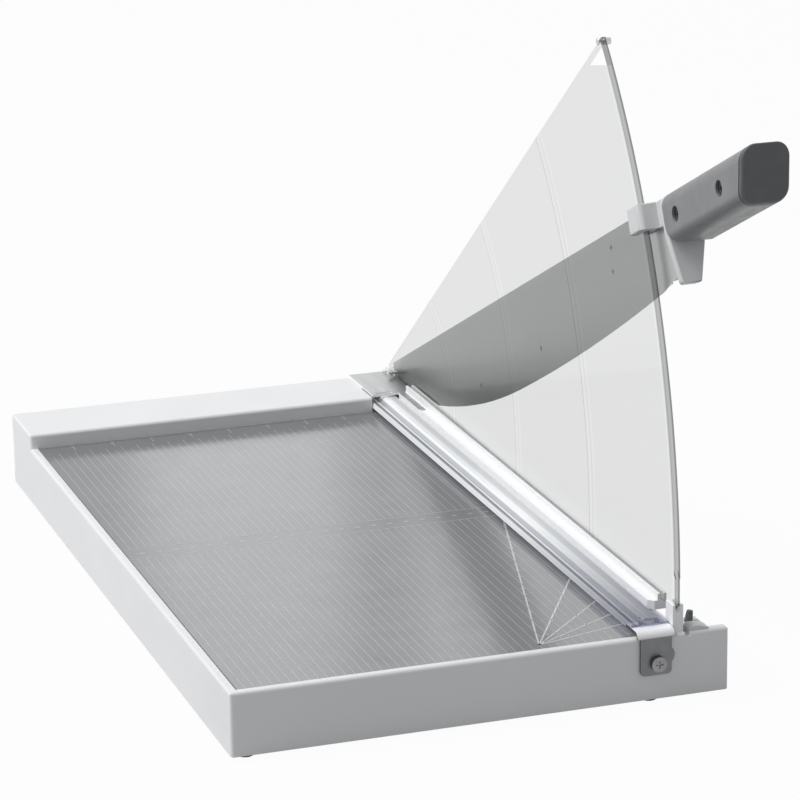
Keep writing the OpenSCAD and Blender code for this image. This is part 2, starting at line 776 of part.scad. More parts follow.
module guard_rail() {
    color([0.96, 0.96, 0.97]) difference() {
        along_y(y_front + rail_front, base_d - ledge_d - rail_front - slip) difference() {
            union() {
                rect([x_rail, z_rail], [x_rail + rail_w, z_groove]);
                rect([x_guard - seat - rail_cheek_t, z_rail], [x_rail + rail_w, guard_low + rail_cheek_h]);
            }
            rect([x_guard - seat, guard_low - seat], [x_guard + guard_t + seat, guard_low + rail_cheek_h + over]);
        }
        // Room for the tongue of the rear bracket
        box([x_rail - over, y_ledge - tongue_l - seat, z_ledge - seat / 2],
            [x_rail + tongue_w + seat, y_ledge + over, z_groove + over]);
        for (p = rail_screw_places)
            translate([p.x, p.y, z_rail - over]) cylinder(r = tongue_screw[0] + seat, h = rail_base_t + over);
        // Slanted front end beside the clamp bar
        along_z(z_rail - over, rail_base_t + 2 * over)
            polygon([[x_rail - over, y_front + rail_front - over], [x_rail + rail_bevel, y_front + rail_front - over],
                [x_rail - over, y_front + rail_front + rail_bevel]]);
    }
}

module guard_rail_screws() {
    color([0.7, 0.7, 0.72])
        for (p = rail_screw_places)
            translate([p.x, p.y, z_ledge + plate_t - seat / 2]) flat_screw(tongue_screw, z_ledge + plate_t - z_rail - seat);
}

// Post and clip: they hold the guard's lower corners
post_gap = 0.4;
post_d = 10;
post_y = y_front + 2.4;
post_grip = 3.8;
post_top = guard_low + post_grip;
x_post_left = x_guard - 1.9;
x_post_right = x_cut - post_gap - slip;
clip_d = 17;
clip_in = 3.5;
clip_y = y_rear - clip_in - clip_d;
clip_top = z_ledge + plate_t + 5.4;
guard_pin_r = 1.2;
guard_pin_places = [[post_y + post_d * 0.62, guard_low + 1.9], [clip_y + clip_d * 0.3, guard_low + 2]];

module guard_cheeks(y0, d, zb, zt) {
    // Block with a slot for the guard and a hole for its pin
    difference() {
        along_y(y0, d) top_round([x_post_left, zb], [x_post_right, zt], post_gap);
        box([x_guard - seat, y0 - over, guard_low - seat], [x_guard + guard_t + seat, y0 + d + over, zt + over]);
        for (p = guard_pin_places)
            rod_x([x_post_left - over, p.x, p.y], guard_pin_r + seat / 2, x_post_right - x_post_left + 2 * over);
        // Room for the guard's thick edge
        along_x(x_guard - rim_proud - seat, guard_t + 2 * (rim_proud + seat)) difference() {
            translate([guard_cy, guard_cz]) circle(guard_r + seat, $fn = 360);
            translate([guard_cy, guard_cz]) circle(guard_r - guard_rim_w - seat, $fn = 360);
            rect([y0 - over, zb - over], [y0 + d + over, guard_low - seat]);
        }
    }
}

module guard_front_post() {
    color([0.94, 0.95, 0.96]) guard_cheeks(post_y, post_d, z_rim, post_top);
}

module guard_rear_clip() {
    color([0.94, 0.95, 0.96]) difference() {
        guard_cheeks(clip_y, clip_d, z_ledge + plate_t, clip_top);
        // The guard ends inside the clip
        box([x_post_left - over, guard_ry + seat + guard_t, clip_top - rail_cheek_h], [x_post_right + over, y_rear, clip_top + over]);
    }
}

module guard_pins() {
    color([0.75, 0.76, 0.78])
        for (p = guard_pin_places)
            rod_x([x_post_left, p.x, p.y], guard_pin_r, x_post_right - x_post_left);
}

// Clamp bar: clear profile that holds the paper down beside the cut
x_clamp = x_post - post_gap - clamp_w;
clamp_front = 7.5;
clamp_rear_gap = 5.5;
clamp_lean = 0.8;
clamp_left_foot = 4.3;
clamp_rise = 3;
clamp_right_foot = 5;
strap_gap = 0.35;
strap_back = 15;
strap_r = 2.5;
strap_w = 21.4;
strap_inset = 1.7;
ear_r = 5.8;
ear_up = 4.2;
x_strap = x_post - post_gap - strap_w;
guide_len = 13;
spring_front_y = y_front + rim_w + 6;
spring_rear_in = 12;
spring_rear_y = y_ledge + spring_rear_in;
spring_places = [[guide_screw_x, spring_front_y], [guide_screw_x, spring_rear_y]];

module clamp_pockets(gap) {
    for (p = spring_places)
        translate([p.x, p.y, z_table - pocket_depth]) cylinder(r = pocket_r + gap, h = pocket_depth + ledge_h);
}

module clamp_profile() {
    x1 = x_clamp + clamp_w;
    polygon([[x_clamp, z_clamp], [x_clamp + clamp_lean, z_clamp + clamp_foot_t],
        [x_clamp + clamp_lean + clamp_left_foot, z_clamp + clamp_foot_t],
        [x_clamp + clamp_lean + clamp_left_foot + clamp_rise, z_clamp + clamp_h],
        [x1 - clamp_right_foot - clamp_lean, z_clamp + clamp_h], [x1 - clamp_right_foot, z_clamp + clamp_foot_t],
        [x1, z_clamp + clamp_foot_t], [x1, z_clamp]]);
}

module clamp_bar() {
    color([0.82, 0.84, 0.88, 0.45]) difference() {
        along_y(y_front + clamp_front, base_d - ledge_d - clamp_front + notch_d - clamp_rear_gap) clamp_profile();
        // Step that sits on the front bracket
        box([x_clamp - over, y_front, z_clamp - over], [x_post, y_front + strap_back + seat, z_clamp + strap_t]);
        for (p = clamp_screw_places)
            translate([p.x, p.y, z_clamp]) cylinder(r = small_screw[0] + seat / 2, h = clamp_h - clamp_lean);
        // Seat of the rear spring
        translate([guide_screw_x, spring_rear_y, z_clamp - over]) cylinder(r = pocket_r - over, h = over + spring_seat);
    }
}

// Front bracket: bent steel strap that slides on the guide screw
spring_seat = 0.8;
clamp_screw_places = [for (s = [-1, 1]) [guide_screw_x + s * 4.4, y_front + strap_back - 3.4]];

module strap_bend(r) {
    translate([y_front - strap_gap + strap_r, z_clamp - strap_r]) intersection() {
        circle(r);
        rect([-2 * r, 0], [0, 2 * r]);
    }
}

module clamp_bracket() {
    y_in = y_front - strap_gap;
    color([0.5, 0.51, 0.53]) difference() {
        intersection() {
            along_x(x_strap, strap_w) {
                rect([y_in - strap_t, z_clamp + strap_t - strap_drop], [y_in, z_clamp - strap_r]);
                rect([y_in + strap_r, z_clamp], [y_front + strap_back, z_clamp + strap_t]);
                difference() {
                    strap_bend(strap_r + strap_t);
                    strap_bend(strap_r);
                }
            }
            along_y(y_front - 2 * strap_t - over, strap_back + 3 * strap_t + over) {
                round_rect([x_strap + strap_inset, z_clamp + strap_t - strap_drop], [x_strap + strap_w - strap_inset, z_clamp + strap_t + over], strap_r);
                rect([x_strap, z_clamp - strap_r], [x_strap + strap_w, z_clamp + strap_t + over]);
                translate([x_strap + strap_w - ear_r, guide_screw_z + ear_up]) circle(ear_r);
            }
        }
        // Upright slot for the guide screw
        along_y(y_in - strap_t - over, strap_t + 2 * over) {
            rect([guide_screw_x - guide_shoulder_r - slip, guide_screw_z],
                [guide_screw_x + guide_shoulder_r + slip, guide_screw_z + clamp_travel]);
            for (z = [guide_screw_z, guide_screw_z + clamp_travel])
                translate([guide_screw_x, z]) circle(guide_shoulder_r + slip);
        }
        for (p = clamp_screw_places)
            translate([p.x, p.y, z_clamp]) cylinder(r = small_screw[0] + seat, h = 3 * strap_t, center = true);
        for (p = clamp_screw_places)
            translate([p.x, p.y, z_clamp - over]) cylinder(r = clamp_head_r + seat, h = over + clamp_head_t);
    }
}

// Thin-headed screws that fix the strap under the bar
clamp_head_r = 2.1;
clamp_head_t = 0.7;

module clamp_bar_screws() {
    color([0.7, 0.7, 0.72])
        for (p = clamp_screw_places)
            translate([p.x, p.y, z_clamp]) {
                cylinder(r = clamp_head_r, h = clamp_head_t);
                cylinder(r = small_screw[0], h = clamp_h - 2 * clamp_lean);
            }
}

guide_shoulder_r = 2.2;
guide_head_r = 4.3;
guide_head_t = 2.4;

module clamp_guide_screw() {
    y_out = y_front - 2 * strap_gap - strap_t;
    color([0.62, 0.63, 0.65]) {
        difference() {
            rod_y([guide_screw_x, y_out - guide_head_t, guide_screw_z], guide_head_r, guide_head_t);
            for (a = [0, 90])
                translate([guide_screw_x, y_out - guide_head_t, guide_screw_z]) rotate([0, a, 0])
                    box([-guide_head_r / 2, -over, -slot_w / 2], [guide_head_r / 2, slot_depth, slot_w / 2]);
        }
        rod_y([guide_screw_x, y_out, guide_screw_z], guide_shoulder_r, y_front - y_out);
        rod_y([guide_screw_x, y_front, guide_screw_z], large_screw[0], guide_len);
    }
}

// Springs: two coils that lift the clamp bar, each one open tube
wire_r = 0.35;
coil_r = 2.7;
coil_turns = 5;
coil_steps = 14;
wire_sides = 6;
coil_floor = z_table - pocket_depth;
coil_h = z_clamp - coil_floor - 2 * seat;

function coil_point(t) = [coil_r * cos(360 * t), coil_r * sin(360 * t),
    wire_r + (coil_h - 2 * wire_r) * t / coil_turns];
function coil_out(t) = [cos(360 * t), sin(360 * t), 0];

module coil() {
    last = coil_turns * coil_steps;
    rings = [for (i = [0 : last]) let (t = i / coil_steps, c = coil_point(t), o = coil_out(t))
        for (k = [0 : wire_sides - 1]) let (a = 360 * k / wire_sides)
            c + wire_r * (cos(a) * o + sin(a) * [0, 0, 1])];
    sides = [for (i = [0 : last - 1], k = [0 : wire_sides - 1])
        let (m = (k + 1) % wire_sides, p = i * wire_sides, q = p + wire_sides)
            each [[p + k, q + m, q + k], [p + k, p + m, q + m]]];
    ends = [for (k = [1 : wire_sides - 2]) each [[0, k + 1, k],
        [last * wire_sides, last * wire_sides + k, last * wire_sides + k + 1]]];
    polyhedron(rings, concat(sides, ends));
}

module clamp_springs() {
    color([0.7, 0.7, 0.72])
        for (p = spring_places) translate([p.x, p.y, coil_floor + seat]) coil();
}

// Arm: everything below is drawn level and turned up about the hinge
// Along the arm, distance u from the hinge lies at Y = -u and height at Z
boss_proud = 2;
arm_boss_r = 17;
blade_rear = 10;
heel_r = 9;
heel_to = 40;
toe_rise = 6;
toe_run = 23;
toe_drop = 0.5;
arm_front = collar_rear - 0.3;
casting_top = blade_back - 1.6;
casting_r = 3;
rib_places_share = [0.2, 0.4, 0.6, 0.8];
// Screws through the knife, as shares of the arm's length and of its depth
blade_screw_shares = [[0.3349, -0.548], [0.5814, -0.4735], [0.8633, 0.1634], [0.8692, 0.6693]];
blade_screw_places = [for (p = blade_screw_shares) [guard_at * p[0], p[1] * (p[1] < 0 ? blade_belly : blade_back)]];

module on_arm() {
    translate([0, pivot_y, pivot_z]) rotate([-rest_tilt, 0, 0]) children();
}

// Point of the arm's side view
function side(u, w) = [-u, w];

module edge_cone(r, cut, t) {
    // Disc whose rim is the ground bevel: full radius on the left face
    translate([x_knife, -belly_at, edge_centre(r)]) rotate([0, 90, 0])
        cylinder(r1 = r, r2 = r - cut, h = t, $fn = 360);
}
function edge_centre(r) = r - blade_belly;

module cutting_blade() {
    color([0.64, 0.66, 0.67]) on_arm() difference() {
        union() {
            intersection() {
                box([x_knife, -belly_at, -blade_belly], [x_arm, blade_rear, blade_back]);
                edge_cone(edge_rear_r, bevel_w, blade_t);
            }
            intersection() {
                box([x_knife, -blade_end, -blade_belly], [x_arm, -belly_at, blade_back]);
                edge_cone(edge_front_r, bevel_w, blade_t);
            }
            along_x(x_knife, blade_t) {
                rect(side(heel_to, -heel_r), side(0, 0));
                circle(heel_r);
            }
        }
        // Toe ground away above the cutting edge
        along_x(x_knife - over, blade_t + 2 * over)
            polygon([side(blade_toe - toe_run, -knife_toe_w - toe_rise - toe_drop),
                side(blade_toe + 2 * toe_run, -knife_toe_w + 2 * toe_rise - toe_drop),
                side(blade_toe + 2 * toe_run, -blade_belly - over), side(blade_toe - toe_run, -blade_belly - over)]);
        // Step under the collar's hood
        box([x_knife - over, -blade_end - over, hood_low - seat], [x_arm + over, seat - collar_rear, blade_back + over]);
        rod_x([x_knife - over, 0, 0], bolt_r + seat, blade_t + 2 * over);
        for (p = blade_screw_places)
            translate([x_knife, -p.x, p.y]) rotate([0, -90, 0]) flat_hole(medium_screw, blade_t + over);
    }
}
// Height of the cutting edge at the toe, below the hinge axis
knife_toe_w = sqrt(pow(edge_front_r, 2) - pow(blade_toe - belly_at, 2)) - edge_centre(edge_front_r);

module blade_screws() {
    color([0.58, 0.6, 0.61]) on_arm()
        for (p = blade_screw_places)
            translate([x_knife + seat, -p.x, p.y]) rotate([0, -90, 0]) flat_screw(medium_screw, blade_t + arm_web - 2 * seat);
}

module casting_outline(cut) {
    // Side view of the casting, drawn in by cut all round
    intersection() {
        rect(side(arm_front - cut, -blade_belly), side(cut, casting_top - cut));
        union() {
            intersection() {
                translate(side(belly_at, edge_centre(edge_rear_r))) circle(edge_rear_r - edge_show - cut, $fn = 360);
                rect(side(belly_at, -blade_belly), side(-blade_rear, casting_top));
            }
            intersection() {
                translate(side(belly_at, edge_centre(edge_front_r))) circle(edge_front_r - edge_show - cut, $fn = 360);
                rect(side(arm_front, -blade_belly), side(belly_at, casting_top));
            }
        }
    }
}

module arm_casting() {
    color([0.72, 0.73, 0.74]) on_arm() difference() {
        union() {
            along_x(x_arm, arm_t) casting_outline(0);
            rod_x([x_arm, 0, 0], arm_boss_r, arm_t + boss_proud);
            // Tang inside the collar and the handle
            box([x_arm, -handle_end + tang_end, handle_mid - tang_h / 2], [x_arm + arm_t, -arm_front + over, handle_mid + tang_h / 2]);
        }
        // Pockets between the flange and the cross ribs
        difference() {
            along_x(x_arm + arm_web, arm_t) difference() {
                casting_outline(arm_flange);
                circle(arm_boss_r + 2 * over);
                for (s = rib_places_share)
                    translate(side(arm_front * s, 0)) rect([-arm_web / 2, -2 * blade_belly], [arm_web / 2, 2 * blade_back]);
            }
            for (p = blade_screw_places)
                rod_x([x_arm, -p.x, p.y], 2 * medium_screw[0] + seat, arm_t);
        }
        rod_x([x_arm - over, 0, 0], bolt_r + bush_t + seat / 2, arm_t + boss_proud + 2 * over);
        for (p = blade_screw_places)
            rod_x([x_arm - over, -p.x, p.y], medium_screw[0] + seat / 2, arm_web + over);
        for (u = handle_screw_places)
            rod_x([x_arm - over, -u, handle_mid], large_screw[0] + seat, arm_t + 2 * over);
    }
}

module pivot_bush() {
    color([0.75, 0.6, 0.35])
        ring_x(x_arm, bolt_r + bolt_fit, bolt_r + bush_t, arm_t + boss_proud);
}

// Collar: moulded hand stop whose hood hooks over the guard's curved edge
slot_gap = 0.6;
slot_past = 6.7;
slot_end = guard_at + slot_past;
collar_right = x_arm_out + 5.9;
collar_left = collar_right - collar_w;
collar_top = blade_back + 1;
cheek_out = x_guard - rim_proud - slot_gap - cheek_t;
hood_low = collar_top - hood_h;
hood_front = collar_rear + hood_l;
hood_r = 2;
sleeve_low = -14;
collar_taper = 5;
collar_lean = 3.8;
collar_r = 5;

module collar_plan() {
    // Hood seen from above, bevelled at its rear and front corners
    polygon([side2(cheek_out, collar_rear + cheek_t / 4), side2(cheek_out, hood_front - hood_r),
        side2(cheek_out + hood_r, hood_front), side2(collar_right - collar_r, hood_front),
        side2(collar_right - collar_r, collar_rear), side2(cheek_out + cheek_t / 4, collar_rear)]);
}
function side2(x, u) = [x, -u];
function taper_at(w) = collar_right - collar_taper * w / collar_drop;

module collar_end(xl, low, lean, cut) {
    // Collar seen from the front: left side at xl, its foot at low
    polygon([[xl + cut, collar_top], [xl + cut * 0.3, collar_top - cut * 0.3], [xl, collar_top - cut], [xl, collar_taper],
        [xl + lean, -low + collar_r / 4], [xl + lean + collar_r / 4, -low], [taper_at(low) - collar_r / 4, -low],
        [taper_at(low), -low + collar_r / 4], [collar_right, 0], [collar_right, collar_top - collar_r],
        [collar_right - collar_r * 0.3, collar_top - collar_r * 0.3], [collar_right - collar_r, collar_top]]);
}

module guard_collar() {
    color([0.82, 0.84, 0.85]) on_arm() difference() {
        union() {
            along_z(hood_low, hood_h) collar_plan();
            // Sleeve beside the knife, and the flange in front of its end
            along_y(-collar_front, collar_front - collar_rear) collar_end(x_knife, -sleeve_low, 0, over / 2);
            along_y(-collar_front, collar_flange) collar_end(collar_left, collar_drop, collar_lean, collar_r);
        }
        // Slot for the guard
        box([x_guard - rim_proud - slot_gap, -slot_end, -collar_drop - over],
            [x_guard + guard_t + rim_proud + slot_gap, -collar_rear + over, collar_top + over]);
        // Slot for the knife and hole for the tang
        box([x_knife - seat, -blade_end - seat, -collar_drop - over], [x_arm + seat, -collar_rear + over, hood_low]);
        box([x_arm - seat, -collar_front - over, handle_mid - tang_h / 2 - seat], [x_arm_out + seat, -collar_rear + over, handle_mid + tang_h / 2 + seat]);
    }
}

// Handle: two shells on the tang, two screws and a soft end cap
handle_screw_places = [for (i = [0.1512, 0.715]) handle_start + handle_l * i];
tang_end = 14;
handle_aside = 1.6;
x_handle = x_arm_out - arm_t / 2 + handle_aside;
head_sink = 3.6;
head_room = 0.4;
screw_tip = 3;
spigot_gap = 3;

module handle_section(cut) {
    round_rect([x_handle - handle_w / 2 + cut, handle_mid - handle_h / 2 + cut],
        [x_handle + handle_w / 2 - cut, handle_mid + handle_h / 2 - cut], handle_r - cut);
}

// Side view of the handle up to a slanted end, moved back by back
module handle_side(back) {
    half = handle_h / 2;
    low = handle_mid - half;
    u1 = handle_end - back;
    difference() {
        polygon([side(handle_start, low), side(u1 - half * tan(end_slant), low), side(u1 + half * tan(end_slant), low + handle_h), side(handle_start, low + handle_h)]);
        // Rounded lower front corner
        difference() {
            rect(side(handle_start + handle_nose_r, low - over), side(handle_start - over, low + handle_nose_r));
            translate(side(handle_start + handle_nose_r, low + handle_nose_r)) circle(handle_nose_r);
        }
    }
}

module handle_body() {
    on_arm() difference() {
        intersection() {
            along_y(-handle_end - handle_h, handle_l + handle_h + over) handle_section(0);
            along_x(x_handle - handle_w, 2 * handle_w) handle_side(cap_t);
        }
        // Room for the tang
        box([x_arm - seat, -handle_end + tang_end - seat, handle_mid - tang_h / 2 - seat],
            [x_arm_out + seat, -handle_start + over, handle_mid + tang_h / 2 + seat]);
        for (u = handle_screw_places) {
            rod_x([x_handle - handle_w, -u, handle_mid], large_screw[1] + head_room, handle_w / 2 + head_sink);
            rod_x([x_handle - handle_w, -u, handle_mid], large_screw[0] + seat, 3 * handle_w / 2 - screw_tip);
        }
        // Spigot of the end cap
        box([x_handle - handle_w / 4 - seat, -handle_end - handle_h, handle_mid - handle_h / 4 - seat],
            [x_handle + handle_w / 4 + seat, -handle_end + tang_end - spigot_gap, handle_mid + handle_h / 4 + seat]);
    }
}

module handle_left() {
    color([0.55, 0.56, 0.57]) difference() {
        handle_body();
        box([x_handle, y_front - reach, 0], [x_handle + handle_w, y_rear, z_rim + reach]);
    }
}

module handle_right() {
    color([0.52, 0.53, 0.54]) difference() {
        handle_body();
        box([x_handle - handle_w, y_front - reach, 0], [x_handle, y_rear, z_rim + reach]);
    }
}

module handle_screws() {
    color([0.35, 0.35, 0.36]) on_arm()
        for (u = handle_screw_places)
            translate([x_handle - handle_w / 2 + head_sink, -u, handle_mid]) rotate([0, -90, 0])
                pan_screw(large_screw, handle_w - head_sink - screw_tip - 2 * seat);
}

module handle_end_cap() {
    color([0.28, 0.29, 0.3]) on_arm() {
        difference() {
            intersection() {
                along_y(-handle_end - handle_h, handle_l + handle_h) handle_section(0);
                along_x(x_handle - handle_w, 2 * handle_w) difference() {
                    handle_side(0);
                    handle_side(cap_t);
                }
            }
        }
        intersection() {
            box([x_handle - handle_w / 4, -handle_end - handle_h, handle_mid - handle_h / 4],
                [x_handle + handle_w / 4, -handle_end + tang_end - spigot_gap - seat, handle_mid + handle_h / 4]);
            along_x(x_handle - handle_w, 2 * handle_w) handle_side(cap_t - seat);
        }
    }
}

base_shell();
table_plate();
bottom_plate();
rubber_feet();
foot_screws();
bottom_screws();
counter_blade();
counter_blade_screws();
arm_rest();
arm_rest_screws();
arm_buffer();
pivot_bracket();
pivot_bracket_screws();
pivot_bolt();
friction_washer();
spring_washer();
rear_bracket();
rear_bracket_nut();
guard_panel();
guard_rail();
guard_rail_screws();
guard_front_post();
guard_rear_clip();
guard_pins();
guard_stop_pin();
clamp_bar();
clamp_bracket();
clamp_bar_screws();
clamp_guide_screw();
clamp_springs();
cutting_blade();
blade_screws();
arm_casting();
pivot_bush();
guard_collar();
handle_left();
handle_right();
handle_screws();
handle_end_cap();
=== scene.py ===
"""Guillotine paper trimmer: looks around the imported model, in its assembly order."""

import math

import bmesh
import bpy
from mathutils import Matrix, Vector


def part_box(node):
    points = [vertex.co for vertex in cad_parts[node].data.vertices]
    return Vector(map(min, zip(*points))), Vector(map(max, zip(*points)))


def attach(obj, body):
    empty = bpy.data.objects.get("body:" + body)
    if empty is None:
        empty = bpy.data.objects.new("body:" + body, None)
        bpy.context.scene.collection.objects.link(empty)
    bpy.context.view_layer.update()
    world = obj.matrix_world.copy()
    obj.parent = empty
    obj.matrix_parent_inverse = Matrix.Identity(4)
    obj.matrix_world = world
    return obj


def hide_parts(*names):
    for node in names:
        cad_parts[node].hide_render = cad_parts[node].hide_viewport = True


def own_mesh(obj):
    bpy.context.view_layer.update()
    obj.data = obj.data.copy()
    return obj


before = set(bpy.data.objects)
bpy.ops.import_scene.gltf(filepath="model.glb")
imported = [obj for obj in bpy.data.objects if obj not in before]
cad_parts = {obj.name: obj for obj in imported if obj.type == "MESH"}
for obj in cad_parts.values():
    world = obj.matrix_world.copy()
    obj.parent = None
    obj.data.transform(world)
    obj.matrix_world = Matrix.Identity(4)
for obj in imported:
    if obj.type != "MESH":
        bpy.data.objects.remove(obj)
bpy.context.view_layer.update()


# ---------------------------------------------------------------- camera
# The camera stands in front and to the left, at the photograph's angle, with
# a long lens that looks a little down on the trimmer.
yaw, pitch, roll = 0.32118, 0.29228, -0.01488
camera_place = (-0.6161, -1.92773, 0.7309)
ahead = Vector((math.sin(yaw) * math.cos(pitch), math.cos(yaw) * math.cos(pitch),
                -math.sin(pitch)))
level = Vector((math.cos(yaw), -math.sin(yaw), 0))
above = level.cross(ahead)
camera_right = math.cos(roll) * level + math.sin(roll) * above
camera_up = math.cos(roll) * above - math.sin(roll) * level
camera = bpy.data.objects.new("camera", bpy.data.cameras.new("camera"))
camera.data.lens = 165.93
camera.data.sensor_width = 36
camera.data.clip_end = 100
camera_turn = Matrix((camera_right, camera_up, -ahead)).transposed().to_4x4()
camera.matrix_world = Matrix.Translation(camera_place) @ camera_turn
bpy.context.scene.collection.objects.link(camera)
bpy.context.scene.camera = camera
bpy.context.scene.view_settings.view_transform = "Standard"


# ---------------------------------------------------------------- studio
# A white ground and a white room with a large soft lamp above on the left.
# Two tall panels behind give the broad sheen on the table.
def seen_directly(nodes, links):
    """1 for rays from the camera, from gloss and through clear pieces."""
    path = nodes.new("ShaderNodeLightPath")
    total = path.outputs["Is Camera Ray"]
    for kind in ("Is Glossy Ray", "Is Transmission Ray"):
        either = nodes.new("ShaderNodeMath")
        either.operation = "MAXIMUM"
        links.new(total, either.inputs[0])
        links.new(path.outputs[kind], either.inputs[1])
        total = either.outputs[0]
    return total


world = bpy.data.worlds.new("room")
bpy.context.scene.world = world
world.use_nodes = True
room = world.node_tree.nodes
room_links = world.node_tree.links
fill = room["Background"]
fill.inputs["Color"].default_value = (0.94, 0.97, 1, 1)
fill.inputs["Strength"].default_value = 0.36
backdrop = room.new("ShaderNodeBackground")
backdrop.inputs["Strength"].default_value = 1
either_room = room.new("ShaderNodeMixShader")
room_links.new(seen_directly(room, room_links), either_room.inputs[0])
room_links.new(fill.outputs[0], either_room.inputs[1])
room_links.new(backdrop.outputs[0], either_room.inputs[2])
room_links.new(either_room.outputs[0], room["World Output"].inputs["Surface"])


def lamp(name, place, target, size, power):
    """Rectangular soft lamp at place that faces target."""
    light = bpy.data.lights.new(name, "AREA")
    light.shape = "RECTANGLE"
    light.size, light.size_y = size
    light.energy = power
    stand = bpy.data.objects.new(name, light)
    facing = (Vector(target) - Vector(place)).to_track_quat("-Z", "Y")
    stand.matrix_world = Matrix.LocRotScale(Vector(place), facing, None)
    bpy.context.scene.collection.objects.link(stand)


table_middle = (0, 0, 0.03)
lamp("key_lamp", (-1.75, 0.35, 2.45), (0, 0, 0.05), (1.6, 1.6), 74)
lamp("sheen_panel", (0.75, 2.9, 1.1), table_middle, (0.3, 1.9), 1.6)
lamp("side_sheen", (1.29, 2.9, 1.1), table_middle, (0.5, 1.9), 2.6)

ground_reach = 12
ground_white = 0.965
ground = bpy.data.meshes.new("ground")
ground.from_pydata([(-ground_reach, -ground_reach, 0), (ground_reach, -ground_reach, 0),
                    (ground_reach, ground_reach, 0), (-ground_reach, ground_reach, 0)],
                   [], [(0, 1, 2, 3)])
floor = bpy.data.objects.new("floor", ground)
bpy.context.scene.collection.objects.link(floor)
floor_paint = bpy.data.materials.new("white_ground")
floor_paint.use_nodes = True
floor_nodes = floor_paint.node_tree.nodes
floor_links = floor_paint.node_tree.links
floor_nodes.remove(floor_nodes["Principled BSDF"])
matt = floor_nodes.new("ShaderNodeBsdfDiffuse")
matt.inputs["Color"].default_value = (0.5, 0.5, 0.5, 1)
glow = floor_nodes.new("ShaderNodeEmission")
glow.inputs["Strength"].default_value = 1
glow_share = floor_nodes.new("ShaderNodeMath")
glow_share.operation = "MULTIPLY"
glow_share.inputs[1].default_value = ground_white
floor_links.new(seen_directly(floor_nodes, floor_links), glow_share.inputs[0])
blend_ground = floor_nodes.new("ShaderNodeMixShader")
floor_links.new(glow_share.outputs[0], blend_ground.inputs[0])
floor_links.new(matt.outputs[0], blend_ground.inputs[1])
floor_links.new(glow.outputs[0], blend_ground.inputs[2])
floor_links.new(blend_ground.outputs[0], floor_nodes["Material Output"].inputs["Surface"])
ground.materials.append(floor_paint)


# ---------------------------------------------------------------- base
# The base is one hollow body with a deck, a rim and a raised paper stop, in a
# light grey powder coat with a fine texture. Its edges are rounded.
def finish(name, colour, roughness, metallic=0.0, mottle=0.03, patch=0.04, grain=0.0006,
           depth=0.00002, spread=0.06, stretch=(1, 1, 1), turn=0.0, centre=(0, 0, 0)):
    """Material with soft patches in its colour, fine grain and uneven gloss.

    Patches of size patch change the colour by the share mottle, patches a third
    as large change the roughness by spread, and grain is as high as depth.
    Stretch draws all of them out along the axes, which turn tilts about centre.
    """
    noise_low, noise_high = 0.3, 0.7
    material = bpy.data.materials.new(name)
    material.use_nodes = True
    nodes, links = material.node_tree.nodes, material.node_tree.links
    shader = nodes["Principled BSDF"]
    shader.inputs["Metallic"].default_value = metallic
    place = nodes.new("ShaderNodeTexCoord")
    level_at = nodes.new("ShaderNodeMapping")
    level_at.vector_type = "TEXTURE"
    level_at.inputs["Location"].default_value = centre
    level_at.inputs["Rotation"].default_value = (turn, 0, 0)
    level_at.inputs["Scale"].default_value = stretch
    links.new(place.outputs["Object"], level_at.inputs["Vector"])

    def noise(size, detail):
        cloud = nodes.new("ShaderNodeTexNoise")
        cloud.inputs["Scale"].default_value = 1 / size
        cloud.inputs["Detail"].default_value = detail
        links.new(level_at.outputs[0], cloud.inputs["Vector"])
        return cloud.outputs["Fac"]

    def spread_over(fac, low, high):
        ramp = nodes.new("ShaderNodeMapRange")
        ramp.inputs["From Min"].default_value = noise_low
        ramp.inputs["From Max"].default_value = noise_high
        ramp.inputs["To Min"].default_value = low
        ramp.inputs["To Max"].default_value = high
        links.new(fac, ramp.inputs["Value"])
        return ramp.outputs[0]

    tint = nodes.new("ShaderNodeMix")
    tint.data_type = "RGBA"
    tint.name = "tint"
    tint.inputs["A"].default_value = tuple(c * (1 - mottle) for c in colour) + (1,)
    tint.inputs["B"].default_value = tuple(min(1, c * (1 + mottle)) for c in colour) + (1,)
    links.new(spread_over(noise(patch, 3), 0, 1), tint.inputs["Factor"])
    links.new(tint.outputs["Result"], shader.inputs["Base Color"])
    gloss = spread_over(noise(patch / 3, 4), roughness - spread, roughness + spread)
    links.new(gloss, shader.inputs["Roughness"])
    relief = nodes.new("ShaderNodeBump")
    relief.inputs["Strength"].default_value = 1
    relief.inputs["Distance"].default_value = depth
    links.new(noise(grain, 2), relief.inputs["Height"])
    links.new(relief.outputs["Normal"], shader.inputs["Normal"])
    return material


def dress(node, material):
    """Gives a CAD node its material."""
    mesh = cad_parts[node].data
    mesh.materials.clear()
    mesh.materials.append(material)


def coat_all(mesh, material):
    """Gives every face of a mesh the one material."""
    mesh.materials.clear()
    mesh.materials.append(material)
    for face in mesh.polygons:
        face.material_index = 0


flat_angle = math.radians(0.4)
short_edge = 0.003


